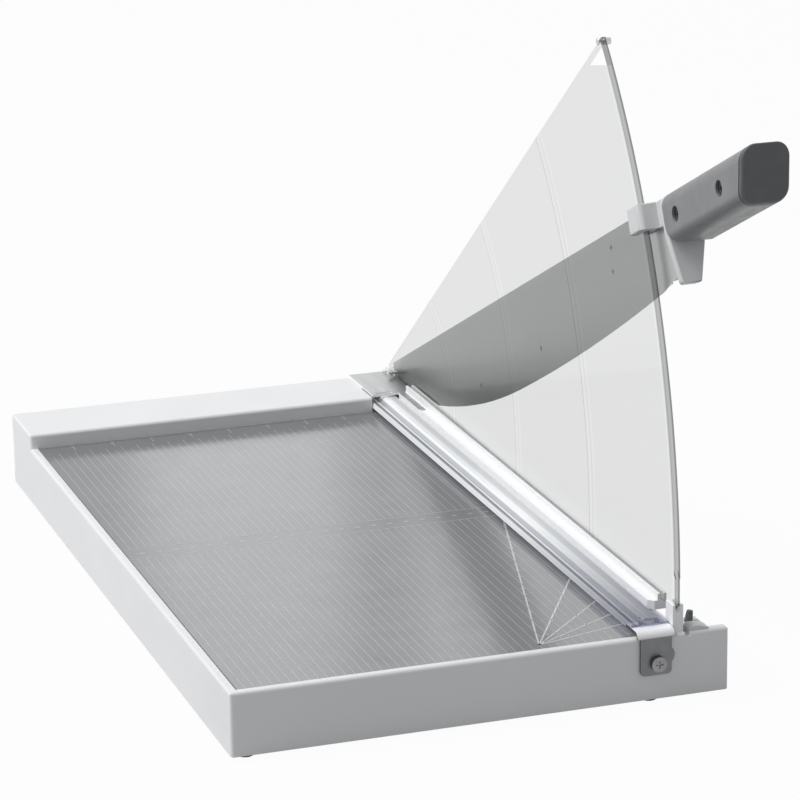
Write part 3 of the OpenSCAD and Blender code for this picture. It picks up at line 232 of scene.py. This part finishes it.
def eased(node, body, material, width, name, segments=3, angle=28, merge=0.000002,
          outer=None):
    """Copy of a CAD node with its sharp edges rounded, which stands for it.

    Corners nearer than merge become one, and edges that turn by more than angle
    are rounded. With outer, only the long ones whose two ends pass that test are.
    """
    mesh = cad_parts[node].data.copy()
    shape = bmesh.new()
    shape.from_mesh(mesh)
    bmesh.ops.remove_doubles(shape, verts=shape.verts, dist=merge)
    bmesh.ops.dissolve_limit(shape, angle_limit=flat_angle, verts=shape.verts, edges=shape.edges)
    shape.to_mesh(mesh)
    shape.free()
    coat_all(mesh, material)
    if outer is not None:
        chosen = bmesh.new()
        chosen.from_mesh(mesh)
        weight = chosen.edges.layers.float.new("bevel_weight_edge")
        for edge in chosen.edges:
            turned = len(edge.link_faces) == 2 and edge.calc_face_angle() > math.radians(angle)
            outside = all(outer(end.co) for end in edge.verts)
            edge[weight] = float(turned and edge.calc_length() > short_edge and outside)
        chosen.to_mesh(mesh)
        chosen.free()
    piece = bpy.data.objects.new(name, mesh)
    bpy.context.scene.collection.objects.link(piece)
    bevel = piece.modifiers.new("edges", "BEVEL")
    bevel.width = width
    bevel.segments = segments
    bevel.limit_method = "ANGLE" if outer is None else "WEIGHT"
    bevel.angle_limit = math.radians(angle)
    bevel.use_clamp_overlap = outer is None
    bevel.miter_outer = "MITER_ARC"
    smooth(piece)
    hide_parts(node)
    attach(piece, body)
    return piece


def final_mesh(piece):
    """The piece's mesh with its modifiers applied."""
    bpy.context.view_layer.update()
    seen = piece.evaluated_get(bpy.context.evaluated_depsgraph_get())
    return bpy.data.meshes.new_from_object(seen)


def smooth(piece, angle=32):
    """Makes the bevel final, then shades curved faces smooth and keeps the flat ones flat."""
    done = final_mesh(piece)
    piece.modifiers.clear()
    piece.data = done
    done.polygons.foreach_set("use_smooth", [True] * len(done.polygons))
    done.set_sharp_from_angle(angle=math.radians(angle))
    weigh = piece.modifiers.new("flat_faces", "WEIGHTED_NORMAL")
    weigh.keep_sharp = True
    weigh.weight = 80


base_paint = finish("base_paint", (0.79, 0.79, 0.797), 0.42, mottle=0.012, patch=0.09,
                    grain=0.0009, depth=0.000012, spread=0.05)
eased("base_shell", "base", base_paint, 0.0006, name="painted_base")


# ---------------------------------------------------------------- table
# The table is a glossy dark grey plate let into the deck. A pale print on it
# has rules along the cut, inch and centimetre marks and an angle fan.
table_gloss = finish("table_gloss", (0.205, 0.209, 0.216), 0.16, mottle=0.03, patch=0.05,
                     grain=0.0012, depth=0.000006, spread=0.03)
eased("table_plate", "base", table_gloss, 0.0003, name="printed_plate",
      segments=2)


def tree_of(name, inputs):
    """Empty Geometry Nodes tree with named inputs, which adds to the shape it is given."""
    tree = bpy.data.node_groups.new(name, "GeometryNodeTree")
    tree.interface.new_socket("Geometry", in_out="INPUT", socket_type="NodeSocketGeometry")
    for label, kind in inputs:
        tree.interface.new_socket(label, in_out="INPUT", socket_type="NodeSocket" + kind)
    tree.interface.new_socket("Geometry", in_out="OUTPUT", socket_type="NodeSocketGeometry")
    return tree, tree.nodes.new("NodeGroupInput"), tree.nodes.new("NodeGroupOutput")


def close_tree(tree, source, outlet, made):
    """Ends a tree: instances made real, material set, and joined to what came in."""
    real = tree.nodes.new("GeometryNodeRealizeInstances")
    coated = tree.nodes.new("GeometryNodeSetMaterial")
    joined = tree.nodes.new("GeometryNodeJoinGeometry")
    tree.links.new(made, real.inputs[0])
    tree.links.new(real.outputs[0], coated.inputs["Geometry"])
    tree.links.new(source.outputs["Material"], coated.inputs["Material"])
    tree.links.new(coated.outputs[0], joined.inputs[0])
    tree.links.new(source.outputs["Geometry"], joined.inputs[0])
    tree.links.new(joined.outputs[0], outlet.inputs[0])


def row_of_marks():
    """Count bars of one size, from Start on by Step, each turned by Turn."""
    tree, source, outlet = tree_of("row_of_marks", [
        ("Start", "Vector"), ("Step", "Vector"), ("Count", "Int"),
        ("Size", "Vector"), ("Turn", "Float"), ("Material", "Material")])
    line = tree.nodes.new("GeometryNodeMeshLine")
    bar = tree.nodes.new("GeometryNodeMeshCube")
    turned = tree.nodes.new("ShaderNodeCombineXYZ")
    spun = tree.nodes.new("GeometryNodeTransform")
    placed = tree.nodes.new("GeometryNodeInstanceOnPoints")
    tree.links.new(source.outputs["Count"], line.inputs["Count"])
    tree.links.new(source.outputs["Start"], line.inputs["Start Location"])
    tree.links.new(source.outputs["Step"], line.inputs["Offset"])
    tree.links.new(source.outputs["Size"], bar.inputs["Size"])
    tree.links.new(source.outputs["Turn"], turned.inputs["Z"])
    tree.links.new(bar.outputs["Mesh"], spun.inputs["Geometry"])
    tree.links.new(turned.outputs[0], spun.inputs["Rotation"])
    tree.links.new(line.outputs[0], placed.inputs["Points"])
    tree.links.new(spun.outputs[0], placed.inputs["Instance"])
    close_tree(tree, source, outlet, placed.outputs[0])
    return tree


def apply_tree(piece, tree, **values):
    """Adds a tree to a piece with its named inputs set by their identifiers."""
    step = piece.modifiers.new(tree.name, "NODES")
    step.node_group = tree
    sockets = {s.name: s.identifier for s in tree.interface.items_tree if s.in_out == "INPUT"}
    for label, value in values.items():
        step[sockets[label]] = value


def bare_piece(name):
    """Empty piece for trees to fill."""
    piece = bpy.data.objects.new(name, bpy.data.meshes.new(name))
    bpy.context.scene.collection.objects.link(piece)
    return piece


def settle(piece, material):
    """Turns what the trees made into the piece's own plain mesh."""
    made = final_mesh(piece)
    piece.modifiers.clear()
    piece.data = made
    coat_all(made, material)


print_ink = finish("print_ink", (0.43, 0.435, 0.44), 0.2, mottle=0.06, patch=0.02)
fan_ink = finish("fan_ink", (0.62, 0.625, 0.63), 0.2, mottle=0.06, patch=0.02)
plate_low, plate_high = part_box("table_plate")
cut_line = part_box("counter_blade")[1].x
stop_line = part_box("counter_blade")[1].y + 0.0001
inch, centimetre, rule_step = 0.0254, 0.010, 0.005
print_h, print_sunk = 0.00005, 0.00001
print_z = plate_high.z + print_h / 2 - print_sunk
bare_side, bare_front, bare_rear = 0.0006, 0.0008, 0.020
print_right, print_left = plate_high.x - bare_side, plate_low.x + bare_side
front_line, rule_end = plate_low.y + bare_front, stop_line - bare_rear
band_near, band_far = stop_line - 0.2256, stop_line - 0.2085
centimetre_y, inch_y, numeral_y = rule_end + 0.003, stop_line - 0.0085, stop_line - 0.0058
rules_n, centimetres_n, inches_n = 49, 24, 9
rule_w, border_w = 0.0003, 0.0005
centimetre_mark, inch_mark, band_dash = (0.00035, 0.006), (0.0006, 0.0035), (0.0028, 0.0011)
marks = row_of_marks()


def print_row(piece, ink, start, step, count, size, turned=0.0):
    """Prints count flat marks from start on by step; size is their measure in X and Y."""
    apply_tree(piece, marks, Start=(*start, print_z), Step=(*step, 0), Count=count,
               Size=(*size, print_h), Turn=turned, Material=ink)


table_print = bare_piece("table_print")
for near, far in ((front_line, band_near), (band_far, rule_end)):
    print_row(table_print, print_ink, (cut_line - rule_step, (near + far) / 2), (-rule_step, 0),
              rules_n, (rule_w, far - near))
# Centimetre marks, inch marks and the two borders of the cross band with its dashes
print_row(table_print, print_ink, (cut_line - centimetre, centimetre_y), (-centimetre, 0),
          centimetres_n, centimetre_mark)
print_row(table_print, print_ink, (cut_line - inch, inch_y), (-inch, 0), inches_n, inch_mark)
print_row(table_print, print_ink, ((print_left + print_right) / 2, band_near),
          (0, band_far - band_near), 2, (print_right - print_left, border_w))
print_row(table_print, print_ink, (cut_line - centimetre, (band_near + band_far) / 2),
          (-centimetre, 0), centimetres_n, band_dash)
# Angle fan with a ray every 15 degrees. Short cross marks on the rays begin at
# first_cross, and their width is the share cross_w of the ray's
fan = Vector((cut_line - 0.080, stop_line - 0.438))
first_cross, cross_w, cross_l = 3 * centimetre, 0.6, 0.0025
fan_print = bare_piece("fan_print")
for degrees, ray_w in ((75, 0.0009), (60, 0.0009), (45, 0.0007), (30, 0.0007), (15, 0.0007)):
    ray_turn = math.radians(degrees)
    along = Vector((math.cos(ray_turn), math.sin(ray_turn)))
    ray_l = (print_right - fan.x) / along.x
    print_row(fan_print, fan_ink, fan + along * ray_l / 2, (0, 0), 1, (ray_l, ray_w), ray_turn)
    print_row(fan_print, fan_ink, fan + along * first_cross, along * centimetre,
              int((ray_l - first_cross) / centimetre), (ray_w * cross_w, cross_l), ray_turn)
for printed, ink in ((table_print, print_ink), (fan_print, fan_ink)):
    settle(printed, ink)
    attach(printed, "base")

# Small numerals beside the inch marks
for number in range(1, inches_n + 1):
    numeral = bpy.data.curves.new("numeral", "FONT")
    numeral.body = str(number)
    numeral.size = 0.0052
    numeral.extrude = print_h / 2
    numeral.resolution_u = 2
    numeral.align_x = "CENTER"
    carrier = bpy.data.objects.new("numeral", numeral)
    bpy.context.scene.collection.objects.link(carrier)
    flat = final_mesh(carrier)
    bpy.data.objects.remove(carrier)
    flat.transform(Matrix.Translation((cut_line - inch * number, numeral_y, print_z)))
    coat_all(flat, print_ink)
    figure = bpy.data.objects.new("inch_numeral_%d" % number, flat)
    bpy.context.scene.collection.objects.link(figure)
    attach(figure, "base")


# ---------------------------------------------------------------- underside
# A dark sheet closes the hollow base. Four rubber feet are held by sunk
# screws, and two pan-head screws hold the sheet half way along.
sheet_paint = finish("sheet_paint", (0.3, 0.3, 0.31), 0.5, mottle=0.04, patch=0.05)
zinc = finish("zinc_plate", (0.6, 0.6, 0.61), 0.32, metallic=1, mottle=0.06, patch=0.004,
              grain=0.0005, depth=0.000008, spread=0.08)
foot_rubber = finish("foot_rubber", (0.035, 0.035, 0.037), 0.75, mottle=0.12, patch=0.006,
                     grain=0.0004, depth=0.00003)
dress("bottom_plate", sheet_paint)
dress("foot_screws", zinc)
dress("bottom_screws", zinc)
eased("rubber_feet", "base", foot_rubber, 0.0004, name="feet")


# ---------------------------------------------------------------- fixed blade
# A ground steel bar along the body's right side is the lower cutting edge.
# Its upper face lies level with the table, and sunk screws hold it.
ground_steel = finish("ground_steel", (0.5, 0.51, 0.51), 0.26, metallic=1, mottle=0.05,
                      patch=0.01, grain=0.0004, depth=0.000004, stretch=(1, 30, 1))
eased("counter_blade", "base", ground_steel, 0.00012, name="fixed_blade",
      segments=1)
dress("counter_blade_screws", zinc)


# ---------------------------------------------------------------- arm rest
# A pale moulded block behind the front wall has a round hump over the wall
# and carries a leaning rubber buffer, on which the arm lands.
pale_plastic = finish("pale_plastic", (0.66, 0.67, 0.675), 0.4, mottle=0.02, patch=0.03,
                      grain=0.0008, depth=0.000012)
buffer_rubber = finish("buffer_rubber", (0.12, 0.12, 0.125), 0.6, mottle=0.1, patch=0.004)
eased("arm_rest", "base", pale_plastic, 0.0006, name="rest_block")
dress("arm_rest_screws", zinc)
eased("arm_buffer", "base", buffer_rubber, 0.0005, name="rest_buffer")


# ---------------------------------------------------------------- hinge
# A steel flange on the body's side carries a shoulder bolt. The arm turns on
# a bronze bush between a friction washer and a sprung washer.
rolled_steel = finish("rolled_steel", (0.66, 0.67, 0.68), 0.3, metallic=1, mottle=0.04,
                      patch=0.01, grain=0.0005, depth=0.000006, stretch=(1, 12, 1))
bronze = finish("bush_bronze", (0.7, 0.55, 0.3), 0.35, metallic=1, mottle=0.08, patch=0.003)
washer_plastic = finish("washer_plastic", (0.9, 0.89, 0.86), 0.45, mottle=0.02, patch=0.005)
eased("pivot_bracket", "base", rolled_steel, 0.0003, name="hinge_flange")
dress("pivot_bracket_screws", zinc)
eased("pivot_bolt", "base", zinc, 0.0004, name="hinge_bolt")
dress("friction_washer", washer_plastic)
dress("spring_washer", zinc)
dress("pivot_bush", bronze)


# ---------------------------------------------------------------- rear bracket
# A bright steel plate on the ledge bridges the notch, and its tongue carries
# the rear end of the rail. It is held by studs from below.
def worn_bright(material, highlight_none_at, highlight_full_at):
    """Paints a highlight by facing: the surface turns near white and stops being metal as the
    normal's Z goes from the first limit to the second.
    """
    nodes, links = material.node_tree.nodes, material.node_tree.links
    surface = nodes["Principled BSDF"]
    place = nodes.new("ShaderNodeTexCoord")
    parts = nodes.new("ShaderNodeSeparateXYZ")
    highlight_share = nodes.new("ShaderNodeMapRange")
    highlight_share.inputs["From Min"].default_value = highlight_none_at
    highlight_share.inputs["From Max"].default_value = highlight_full_at
    highlight_tint = nodes.new("ShaderNodeMix")
    highlight_tint.data_type = "RGBA"
    highlight_tint.inputs["B"].default_value = (0.93, 0.93, 0.94, 1)
    metal_share = nodes.new("ShaderNodeMath")
    metal_share.operation = "SUBTRACT"
    metal_share.inputs[0].default_value = 1
    links.new(place.outputs["Normal"], parts.inputs[0])
    links.new(parts.outputs["Z"], highlight_share.inputs["Value"])
    links.new(highlight_share.outputs[0], highlight_tint.inputs["Factor"])
    links.new(nodes["tint"].outputs["Result"], highlight_tint.inputs["A"])
    links.new(highlight_tint.outputs["Result"], surface.inputs["Base Color"])
    links.new(highlight_share.outputs[0], metal_share.inputs[1])
    links.new(metal_share.outputs[0], surface.inputs["Metallic"])


plate_steel = finish("plate_steel", (0.42, 0.425, 0.43), 0.36, metallic=1, mottle=0.05,
                     patch=0.008, grain=0.0004, depth=0.000006, stretch=(1, 14, 1))
# Painted highlight: the plate's side faces and edges are painted near white
worn_bright(plate_steel, 0.9, 0.4)
eased("rear_bracket", "base", plate_steel, 0.00025, name="rear_plate")
dress("rear_bracket_nut", zinc)


# ---------------------------------------------------------------- rail and guard holders
# A white extruded profile holds the guard's lower edge. A white post and a
# clear clip grip its two corners, each with a pin through it.
def clear(name, tint, roughness, rise, least):
    """Clear plastic: a tint for what is seen through it, and a gloss over that.

    The gloss takes the share least of the light face on and rises by rise towards
    a glancing angle, the same on both faces.
    """
    material = bpy.data.materials.new(name)
    material.use_nodes = True
    nodes, links = material.node_tree.nodes, material.node_tree.links
    gloss = nodes["Principled BSDF"]
    gloss.inputs["Base Color"].default_value = (0.95, 0.96, 0.96, 1)
    gloss.inputs["Metallic"].default_value = 1
    gloss.inputs["Roughness"].default_value = roughness
    through = nodes.new("ShaderNodeBsdfTransparent")
    through.name = "through"
    through.inputs["Color"].default_value = tint + (1,)
    facing = nodes.new("ShaderNodeLayerWeight")
    facing.inputs["Blend"].default_value = 0.5
    steep = nodes.new("ShaderNodeMath")
    steep.operation = "POWER"
    steep.inputs[1].default_value = 5
    glancing = nodes.new("ShaderNodeMath")
    glancing.name = "glancing"
    glancing.operation = "MULTIPLY_ADD"
    glancing.inputs[1].default_value = rise
    glancing.inputs[2].default_value = least
    links.new(facing.outputs["Facing"], steep.inputs[0])
    links.new(steep.outputs[0], glancing.inputs[0])
    both = nodes.new("ShaderNodeMixShader")
    links.new(glancing.outputs[0], both.inputs[0])
    links.new(through.outputs[0], both.inputs[1])
    links.new(gloss.outputs[0], both.inputs[2])
    links.new(both.outputs[0], nodes["Material Output"].inputs["Surface"])
    return material


white_gloss = finish("white_gloss", (0.93, 0.93, 0.94), 0.3, mottle=0.008, patch=0.03,
                     grain=0.001, depth=0.0000006, spread=0.02)
clip_clear = clear("clip_clear", (0.93, 0.935, 0.935), roughness=0.1, rise=0.3, least=0.04)
eased("guard_rail", "base", white_gloss, 0.0004, name="white_rail")
eased("guard_front_post", "base", white_gloss, 0.0005, name="front_post")
dress("guard_rail_screws", zinc)
dress("guard_pins", white_gloss)
eased("guard_rear_clip", "base", clip_clear, 0.0004, name="rear_clip")
eased("guard_stop_pin", "base", zinc, 0.0003, name="stop_pin")


# ---------------------------------------------------------------- guard
# A clear moulded sector stands in the rail. Its curved edge is thickened,
# three shallow ribs run round the same centre, and its tip is open.
def colour_ramp(nodes, stops):
    """Ramp through pairs of place and colour, the first of which is at 0."""
    ramp = nodes.new("ShaderNodeValToRGB")
    elements = ramp.color_ramp.elements
    elements.remove(elements[1])
    elements[0].color = stops[0][1] + (1,)
    for place, colour in stops[1:]:
        elements.new(place).color = colour + (1,)
    return ramp


def bands_round(material, centre, reach, stops):
    """Tints clear plastic in rings round a centre in Y and Z: pairs of radius and colour."""
    nodes, links = material.node_tree.nodes, material.node_tree.links
    place = nodes.new("ShaderNodeTexCoord")
    flat = nodes.new("ShaderNodeVectorMath")
    flat.operation = "MULTIPLY"
    flat.inputs[1].default_value = (0, 1, 1)
    away = nodes.new("ShaderNodeVectorMath")
    away.operation = "DISTANCE"
    away.inputs[1].default_value = (0, centre.y, centre.z)
    reached = nodes.new("ShaderNodeMath")
    reached.operation = "DIVIDE"
    reached.inputs[1].default_value = reach
    ramp = colour_ramp(nodes, [(radius / reach, colour) for radius, colour in stops])
    links.new(place.outputs["Object"], flat.inputs[0])
    links.new(flat.outputs[0], away.inputs[0])
    links.new(away.outputs["Value"], reached.inputs[0])
    links.new(reached.outputs[0], ramp.inputs["Fac"])
    links.new(ramp.outputs["Color"], nodes["through"].inputs["Color"])


guard_tone, rib_painted_highlight, flank_painted_shade = (0.888, 0.893, 0.889), (0.92, 0.925, 0.92), (0.80, 0.81, 0.805)
guard_clear = clear("guard_clear", guard_tone, roughness=0.04, rise=0.12, least=0.012)
guard_centre = Vector((0, 0.22357, 0.0551))
guard_radius = 0.4323
ramp_reach = 0.45
rib_top, rib_flank, rib_foot = 0.0018, 0.0023, 0.0026
rings = [(0.0, guard_tone)]
# Each rib gets a painted light top between painted dark flanks, where the rib bends light
for rib in (0.070, 0.189, 0.308):
    rings += [(rib - rib_foot, guard_tone), (rib - rib_flank, flank_painted_shade),
              (rib - rib_top, rib_painted_highlight), (rib + rib_top, rib_painted_highlight),
              (rib + rib_flank, flank_painted_shade), (rib + rib_foot, guard_tone)]
# Painted light on the rim: a painted bright line and a painted dark edge, where the thick rim
# bends light, by their depth in from the outside
for inset, tone in ((0.0058, guard_tone), (0.0048, (0.975, 0.975, 0.975)),
                    (0.0031, (0.95, 0.95, 0.95)), (0.0027, (0.42, 0.425, 0.43)),
                    (0.0007, (0.48, 0.485, 0.49)), (0, (0.53, 0.535, 0.54))):
    rings.append((guard_radius - inset, tone))
bands_round(guard_clear, guard_centre, ramp_reach, rings)
guard_sector = eased("guard_panel", "base", guard_clear, 0.00015,
                     name="guard_sector", segments=2)
# The rim keeps its full curve down to the post: its straight edge is cut into
# steps, and their corners move out onto the circle
straight_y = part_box("guard_panel")[0].y
edge_slack, post_gap = 0.00005, 0.0002
post_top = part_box("guard_front_post")[1].z
straight_top = guard_centre.z + math.sqrt(guard_radius ** 2 - (guard_centre.y - straight_y) ** 2)
curved = bmesh.new()
curved.from_mesh(guard_sector.data)
curve_steps = 12
for step in range(curve_steps):
    level_z = post_top + post_gap + (straight_top - post_top) * step / curve_steps
    near = {face for corner in curved.verts if corner.co.y < straight_y + edge_slack
            for face in corner.link_faces}
    bounds = {edge for face in near for edge in face.edges}
    ends = {corner for face in near for corner in face.verts}
    bmesh.ops.bisect_plane(curved, geom=list(near) + list(bounds) + list(ends),
                           plane_co=(0, 0, level_z), plane_no=(0, 0, 1))
for corner in curved.verts:
    if corner.co.y < straight_y + edge_slack and corner.co.z > post_top:
        rise = corner.co.z - guard_centre.z
        corner.co.y = guard_centre.y - math.sqrt(guard_radius ** 2 - rise ** 2)
curved.to_mesh(guard_sector.data)
curved.free()


# ---------------------------------------------------------------- clamp bar
# A clear extruded bar presses the paper down beside the cut. A bent steel
# strap at its front slides on a shoulder screw, over two lifting springs.
bar_clear = clear("bar_clear", (0.70, 0.71, 0.785), roughness=0.22, rise=0.1, least=0.04)
bar_nodes, bar_links = bar_clear.node_tree.nodes, bar_clear.node_tree.links
# The white layer that paints light over the bar is white plastic, not a mirror
bar_nodes["Principled BSDF"].inputs["Metallic"].default_value = 0
# Painted light: the bar is painted whiter towards the rear and clearer and cooler towards the
# front
light_front_y, light_rear_y = -0.24, -0.02
light_front_share, light_rear_share = 0.08, 0.95
bar_place = bar_nodes.new("ShaderNodeTexCoord")
bar_parts = bar_nodes.new("ShaderNodeSeparateXYZ")
rear_light_ramp = bar_nodes.new("ShaderNodeMapRange")
rear_light_ramp.inputs["From Min"].default_value = light_front_y
rear_light_ramp.inputs["From Max"].default_value = light_rear_y
rear_light_ramp.inputs["To Min"].default_value = light_front_share
rear_light_ramp.inputs["To Max"].default_value = light_rear_share
bar_links.new(bar_place.outputs["Object"], bar_parts.inputs[0])
bar_links.new(bar_parts.outputs["Y"], rear_light_ramp.inputs["Value"])
# Painted highlights: white lines along its edges and ridges, while its foot and top stay clear
bar_low, bar_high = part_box("clamp_bar")
across = bar_nodes.new("ShaderNodeMapRange")
across.inputs["From Min"].default_value = bar_low.x
across.inputs["From Max"].default_value = bar_high.x
highlight_lines = colour_ramp(bar_nodes, [(place, (bright, bright, bright)) for place, bright in (
    (0, 1), (0.04, 1), (0.055, 0.25), (0.15, 0.25), (0.165, 1), (0.2, 1), (0.215, 0.35),
    (0.3, 0.45), (0.33, 1), (0.47, 1), (0.55, 0.7), (0.7, 0.6), (0.76, 1))])
painted_light_share = bar_nodes.new("ShaderNodeMath")
painted_light_share.operation = "MULTIPLY"
bar_links.new(bar_parts.outputs["X"], across.inputs["Value"])
bar_links.new(across.outputs[0], highlight_lines.inputs["Fac"])
bar_links.new(rear_light_ramp.outputs[0], painted_light_share.inputs[0])
bar_links.new(highlight_lines.outputs["Color"], painted_light_share.inputs[1])
bar_links.new(painted_light_share.outputs[0], bar_nodes["glancing"].inputs[2])
eased("clamp_bar", "clamp", bar_clear, 0.0003, name="clear_clamp_bar", segments=2)
strap_steel = finish("strap_steel", (0.16, 0.163, 0.17), 0.4, metallic=1, mottle=0.06,
                     patch=0.006, grain=0.0004, depth=0.000006)
# Painted highlight: the bend and top of the strap, which face up, are painted near white
worn_bright(strap_steel, 0.02, 0.3)
eased("clamp_bracket", "clamp", strap_steel, 0.0003, name="front_strap")
dress("clamp_bar_screws", zinc)
guide_steel = finish("guide_steel", (0.24, 0.24, 0.245), 0.34, metallic=1, mottle=0.08,
                     patch=0.003)
eased("clamp_guide_screw", "base", guide_steel, 0.0003, name="guide_screw")


def coil_spring():
    """Wire wound round an upright axis from Foot upwards."""
    tree, source, outlet = tree_of("coil_spring", [
        ("Foot", "Vector"), ("Turns", "Float"), ("Radius", "Float"),
        ("Height", "Float"), ("Wire", "Float"), ("Material", "Material")])
    path = tree.nodes.new("GeometryNodeCurveSpiral")
    path.inputs["Resolution"].default_value = 24
    section = tree.nodes.new("GeometryNodeCurvePrimitiveCircle")
    section.inputs["Resolution"].default_value = 10
    wound = tree.nodes.new("GeometryNodeCurveToMesh")
    wound.inputs["Fill Caps"].default_value = True
    placed = tree.nodes.new("GeometryNodeTransform")
    tree.links.new(source.outputs["Turns"], path.inputs["Rotations"])
    tree.links.new(source.outputs["Radius"], path.inputs["Start Radius"])
    tree.links.new(source.outputs["Radius"], path.inputs["End Radius"])
    tree.links.new(source.outputs["Height"], path.inputs["Height"])
    tree.links.new(source.outputs["Wire"], section.inputs["Radius"])
    tree.links.new(path.outputs["Curve"], wound.inputs["Curve"])
    tree.links.new(section.outputs["Curve"], wound.inputs["Profile Curve"])
    tree.links.new(wound.outputs["Mesh"], placed.inputs["Geometry"])
    tree.links.new(source.outputs["Foot"], placed.inputs["Translation"])
    close_tree(tree, source, outlet, placed.outputs[0])
    return tree


spring_low, spring_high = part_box("clamp_springs")
wire = 0.00035
spring_r = (spring_high.x - spring_low.x) / 2 - wire
spring_h = spring_high.z - spring_low.z
spring_x = (spring_low.x + spring_high.x) / 2
spring_turns = 5.0
lift_springs = bare_piece("lift_springs")
wind = coil_spring()
for spring_y in (spring_low.y + spring_r + wire, spring_high.y - spring_r - wire):
    apply_tree(lift_springs, wind, Foot=(spring_x, spring_y, spring_low.z + wire),
               Turns=spring_turns, Radius=spring_r, Height=spring_h - 2 * wire, Wire=wire,
               Material=zinc)
settle(lift_springs, zinc)
lift_springs.data.polygons.foreach_set("use_smooth", [True] * len(lift_springs.data.polygons))
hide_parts("clamp_springs")
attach(lift_springs, "base")
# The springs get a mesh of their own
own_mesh(lift_springs)


# ---------------------------------------------------------------- knife
# A broad satin steel plate has a long curved ground edge below and a straight
# back above. Sunk screws hold it to the casting behind it.
hinge_at = Vector((0.1201, 0.26307, 0.0368))
arm_tilt = math.radians(25)
knife_steel = finish("knife_steel", (0.5, 0.51, 0.505), 0.3, metallic=1, mottle=0.012,
                     patch=0.03, grain=0.0003, depth=0.0000004, spread=0.02,
                     stretch=(1, 26, 1), turn=-arm_tilt, centre=hinge_at)
# The ground face is smooth, so its grain is faint
knife_steel.node_tree.nodes["Bump"].inputs["Strength"].default_value = 0.12
eased("cutting_blade", "arm", knife_steel, 0.00012, name="knife", segments=1,
      angle=20)
dress("blade_screws", knife_steel)


# ---------------------------------------------------------------- arm casting
# A ribbed aluminium casting stiffens the knife. It has a boss round the bolt
# and a tang that runs through the collar into the handle.
cast_alloy = finish("cast_alloy", (0.62, 0.63, 0.64), 0.38, metallic=1, mottle=0.05, patch=0.02,
                    grain=0.0008, depth=0.000006)
eased("arm_casting", "arm", cast_alloy, 0.0005, name="ribbed_casting")


# ---------------------------------------------------------------- collar
# A pale moulded collar closes the arm's front end. Its hood hooks over the
# guard's curved edge and keeps the arm beside the guard.
def along_arm(point):
    """A point's place across, along and above the arm, as if the arm lay level."""
    back, up = hinge_at.y - point.y, point.z - hinge_at.z
    return (point.x, back * math.cos(arm_tilt) + up * math.sin(arm_tilt),
            up * math.cos(arm_tilt) - back * math.sin(arm_tilt))


guard_slot, knife_slot, tang_hole = (0.1088, 0.1136), (0.1145, 0.1178), (0.1166, 0.1256)
guard_slot_end, knife_slot_top, knife_slot_front = 0.4790, 0.0130, 0.4850
tang_hole_low, tang_hole_top = 0.0040, 0.0212


def outside_of_collar(point):
    """True away from the guard's slot, the knife's slot and the tang's hole."""
    side, along, up = along_arm(point)
    in_guard_slot = guard_slot[0] < side < guard_slot[1] and along < guard_slot_end
    beside_knife = up < knife_slot_top or along > knife_slot_front
    in_knife_slot = knife_slot[0] < side < knife_slot[1] and beside_knife
    beside_tang = tang_hole_low < up < tang_hole_top
    in_tang_hole = tang_hole[0] < side < tang_hole[1] and beside_tang
    return not (in_guard_slot or in_knife_slot or in_tang_hole)


eased("guard_collar", "arm", pale_plastic, 0.0011, name="hooded_collar",
      segments=4, merge=0.0003, outer=outside_of_collar)


# ---------------------------------------------------------------- handle
# Two grey moulded shells close round the tang and are held by two black
# cross-head screws. A soft dark cap ends the grip.
grip_plastic = finish("grip_plastic", (0.205, 0.208, 0.212), 0.42, mottle=0.03, patch=0.02,
                      grain=0.0007, depth=0.00002)
cap_plastic = finish("cap_plastic", (0.1, 0.104, 0.108), 0.5, mottle=0.05, patch=0.01,
                     grain=0.0006, depth=0.00002)
black_steel = finish("black_steel", (0.12, 0.12, 0.125), 0.35, metallic=1, mottle=0.06,
                     patch=0.003)
eased("handle_left", "arm", grip_plastic, 0.0005, name="left_shell")
eased("handle_right", "arm", grip_plastic, 0.0005, name="right_shell")
dress("handle_screws", black_steel)
eased("handle_end_cap", "arm", cap_plastic, 0.0016, name="grip_cap", segments=4)
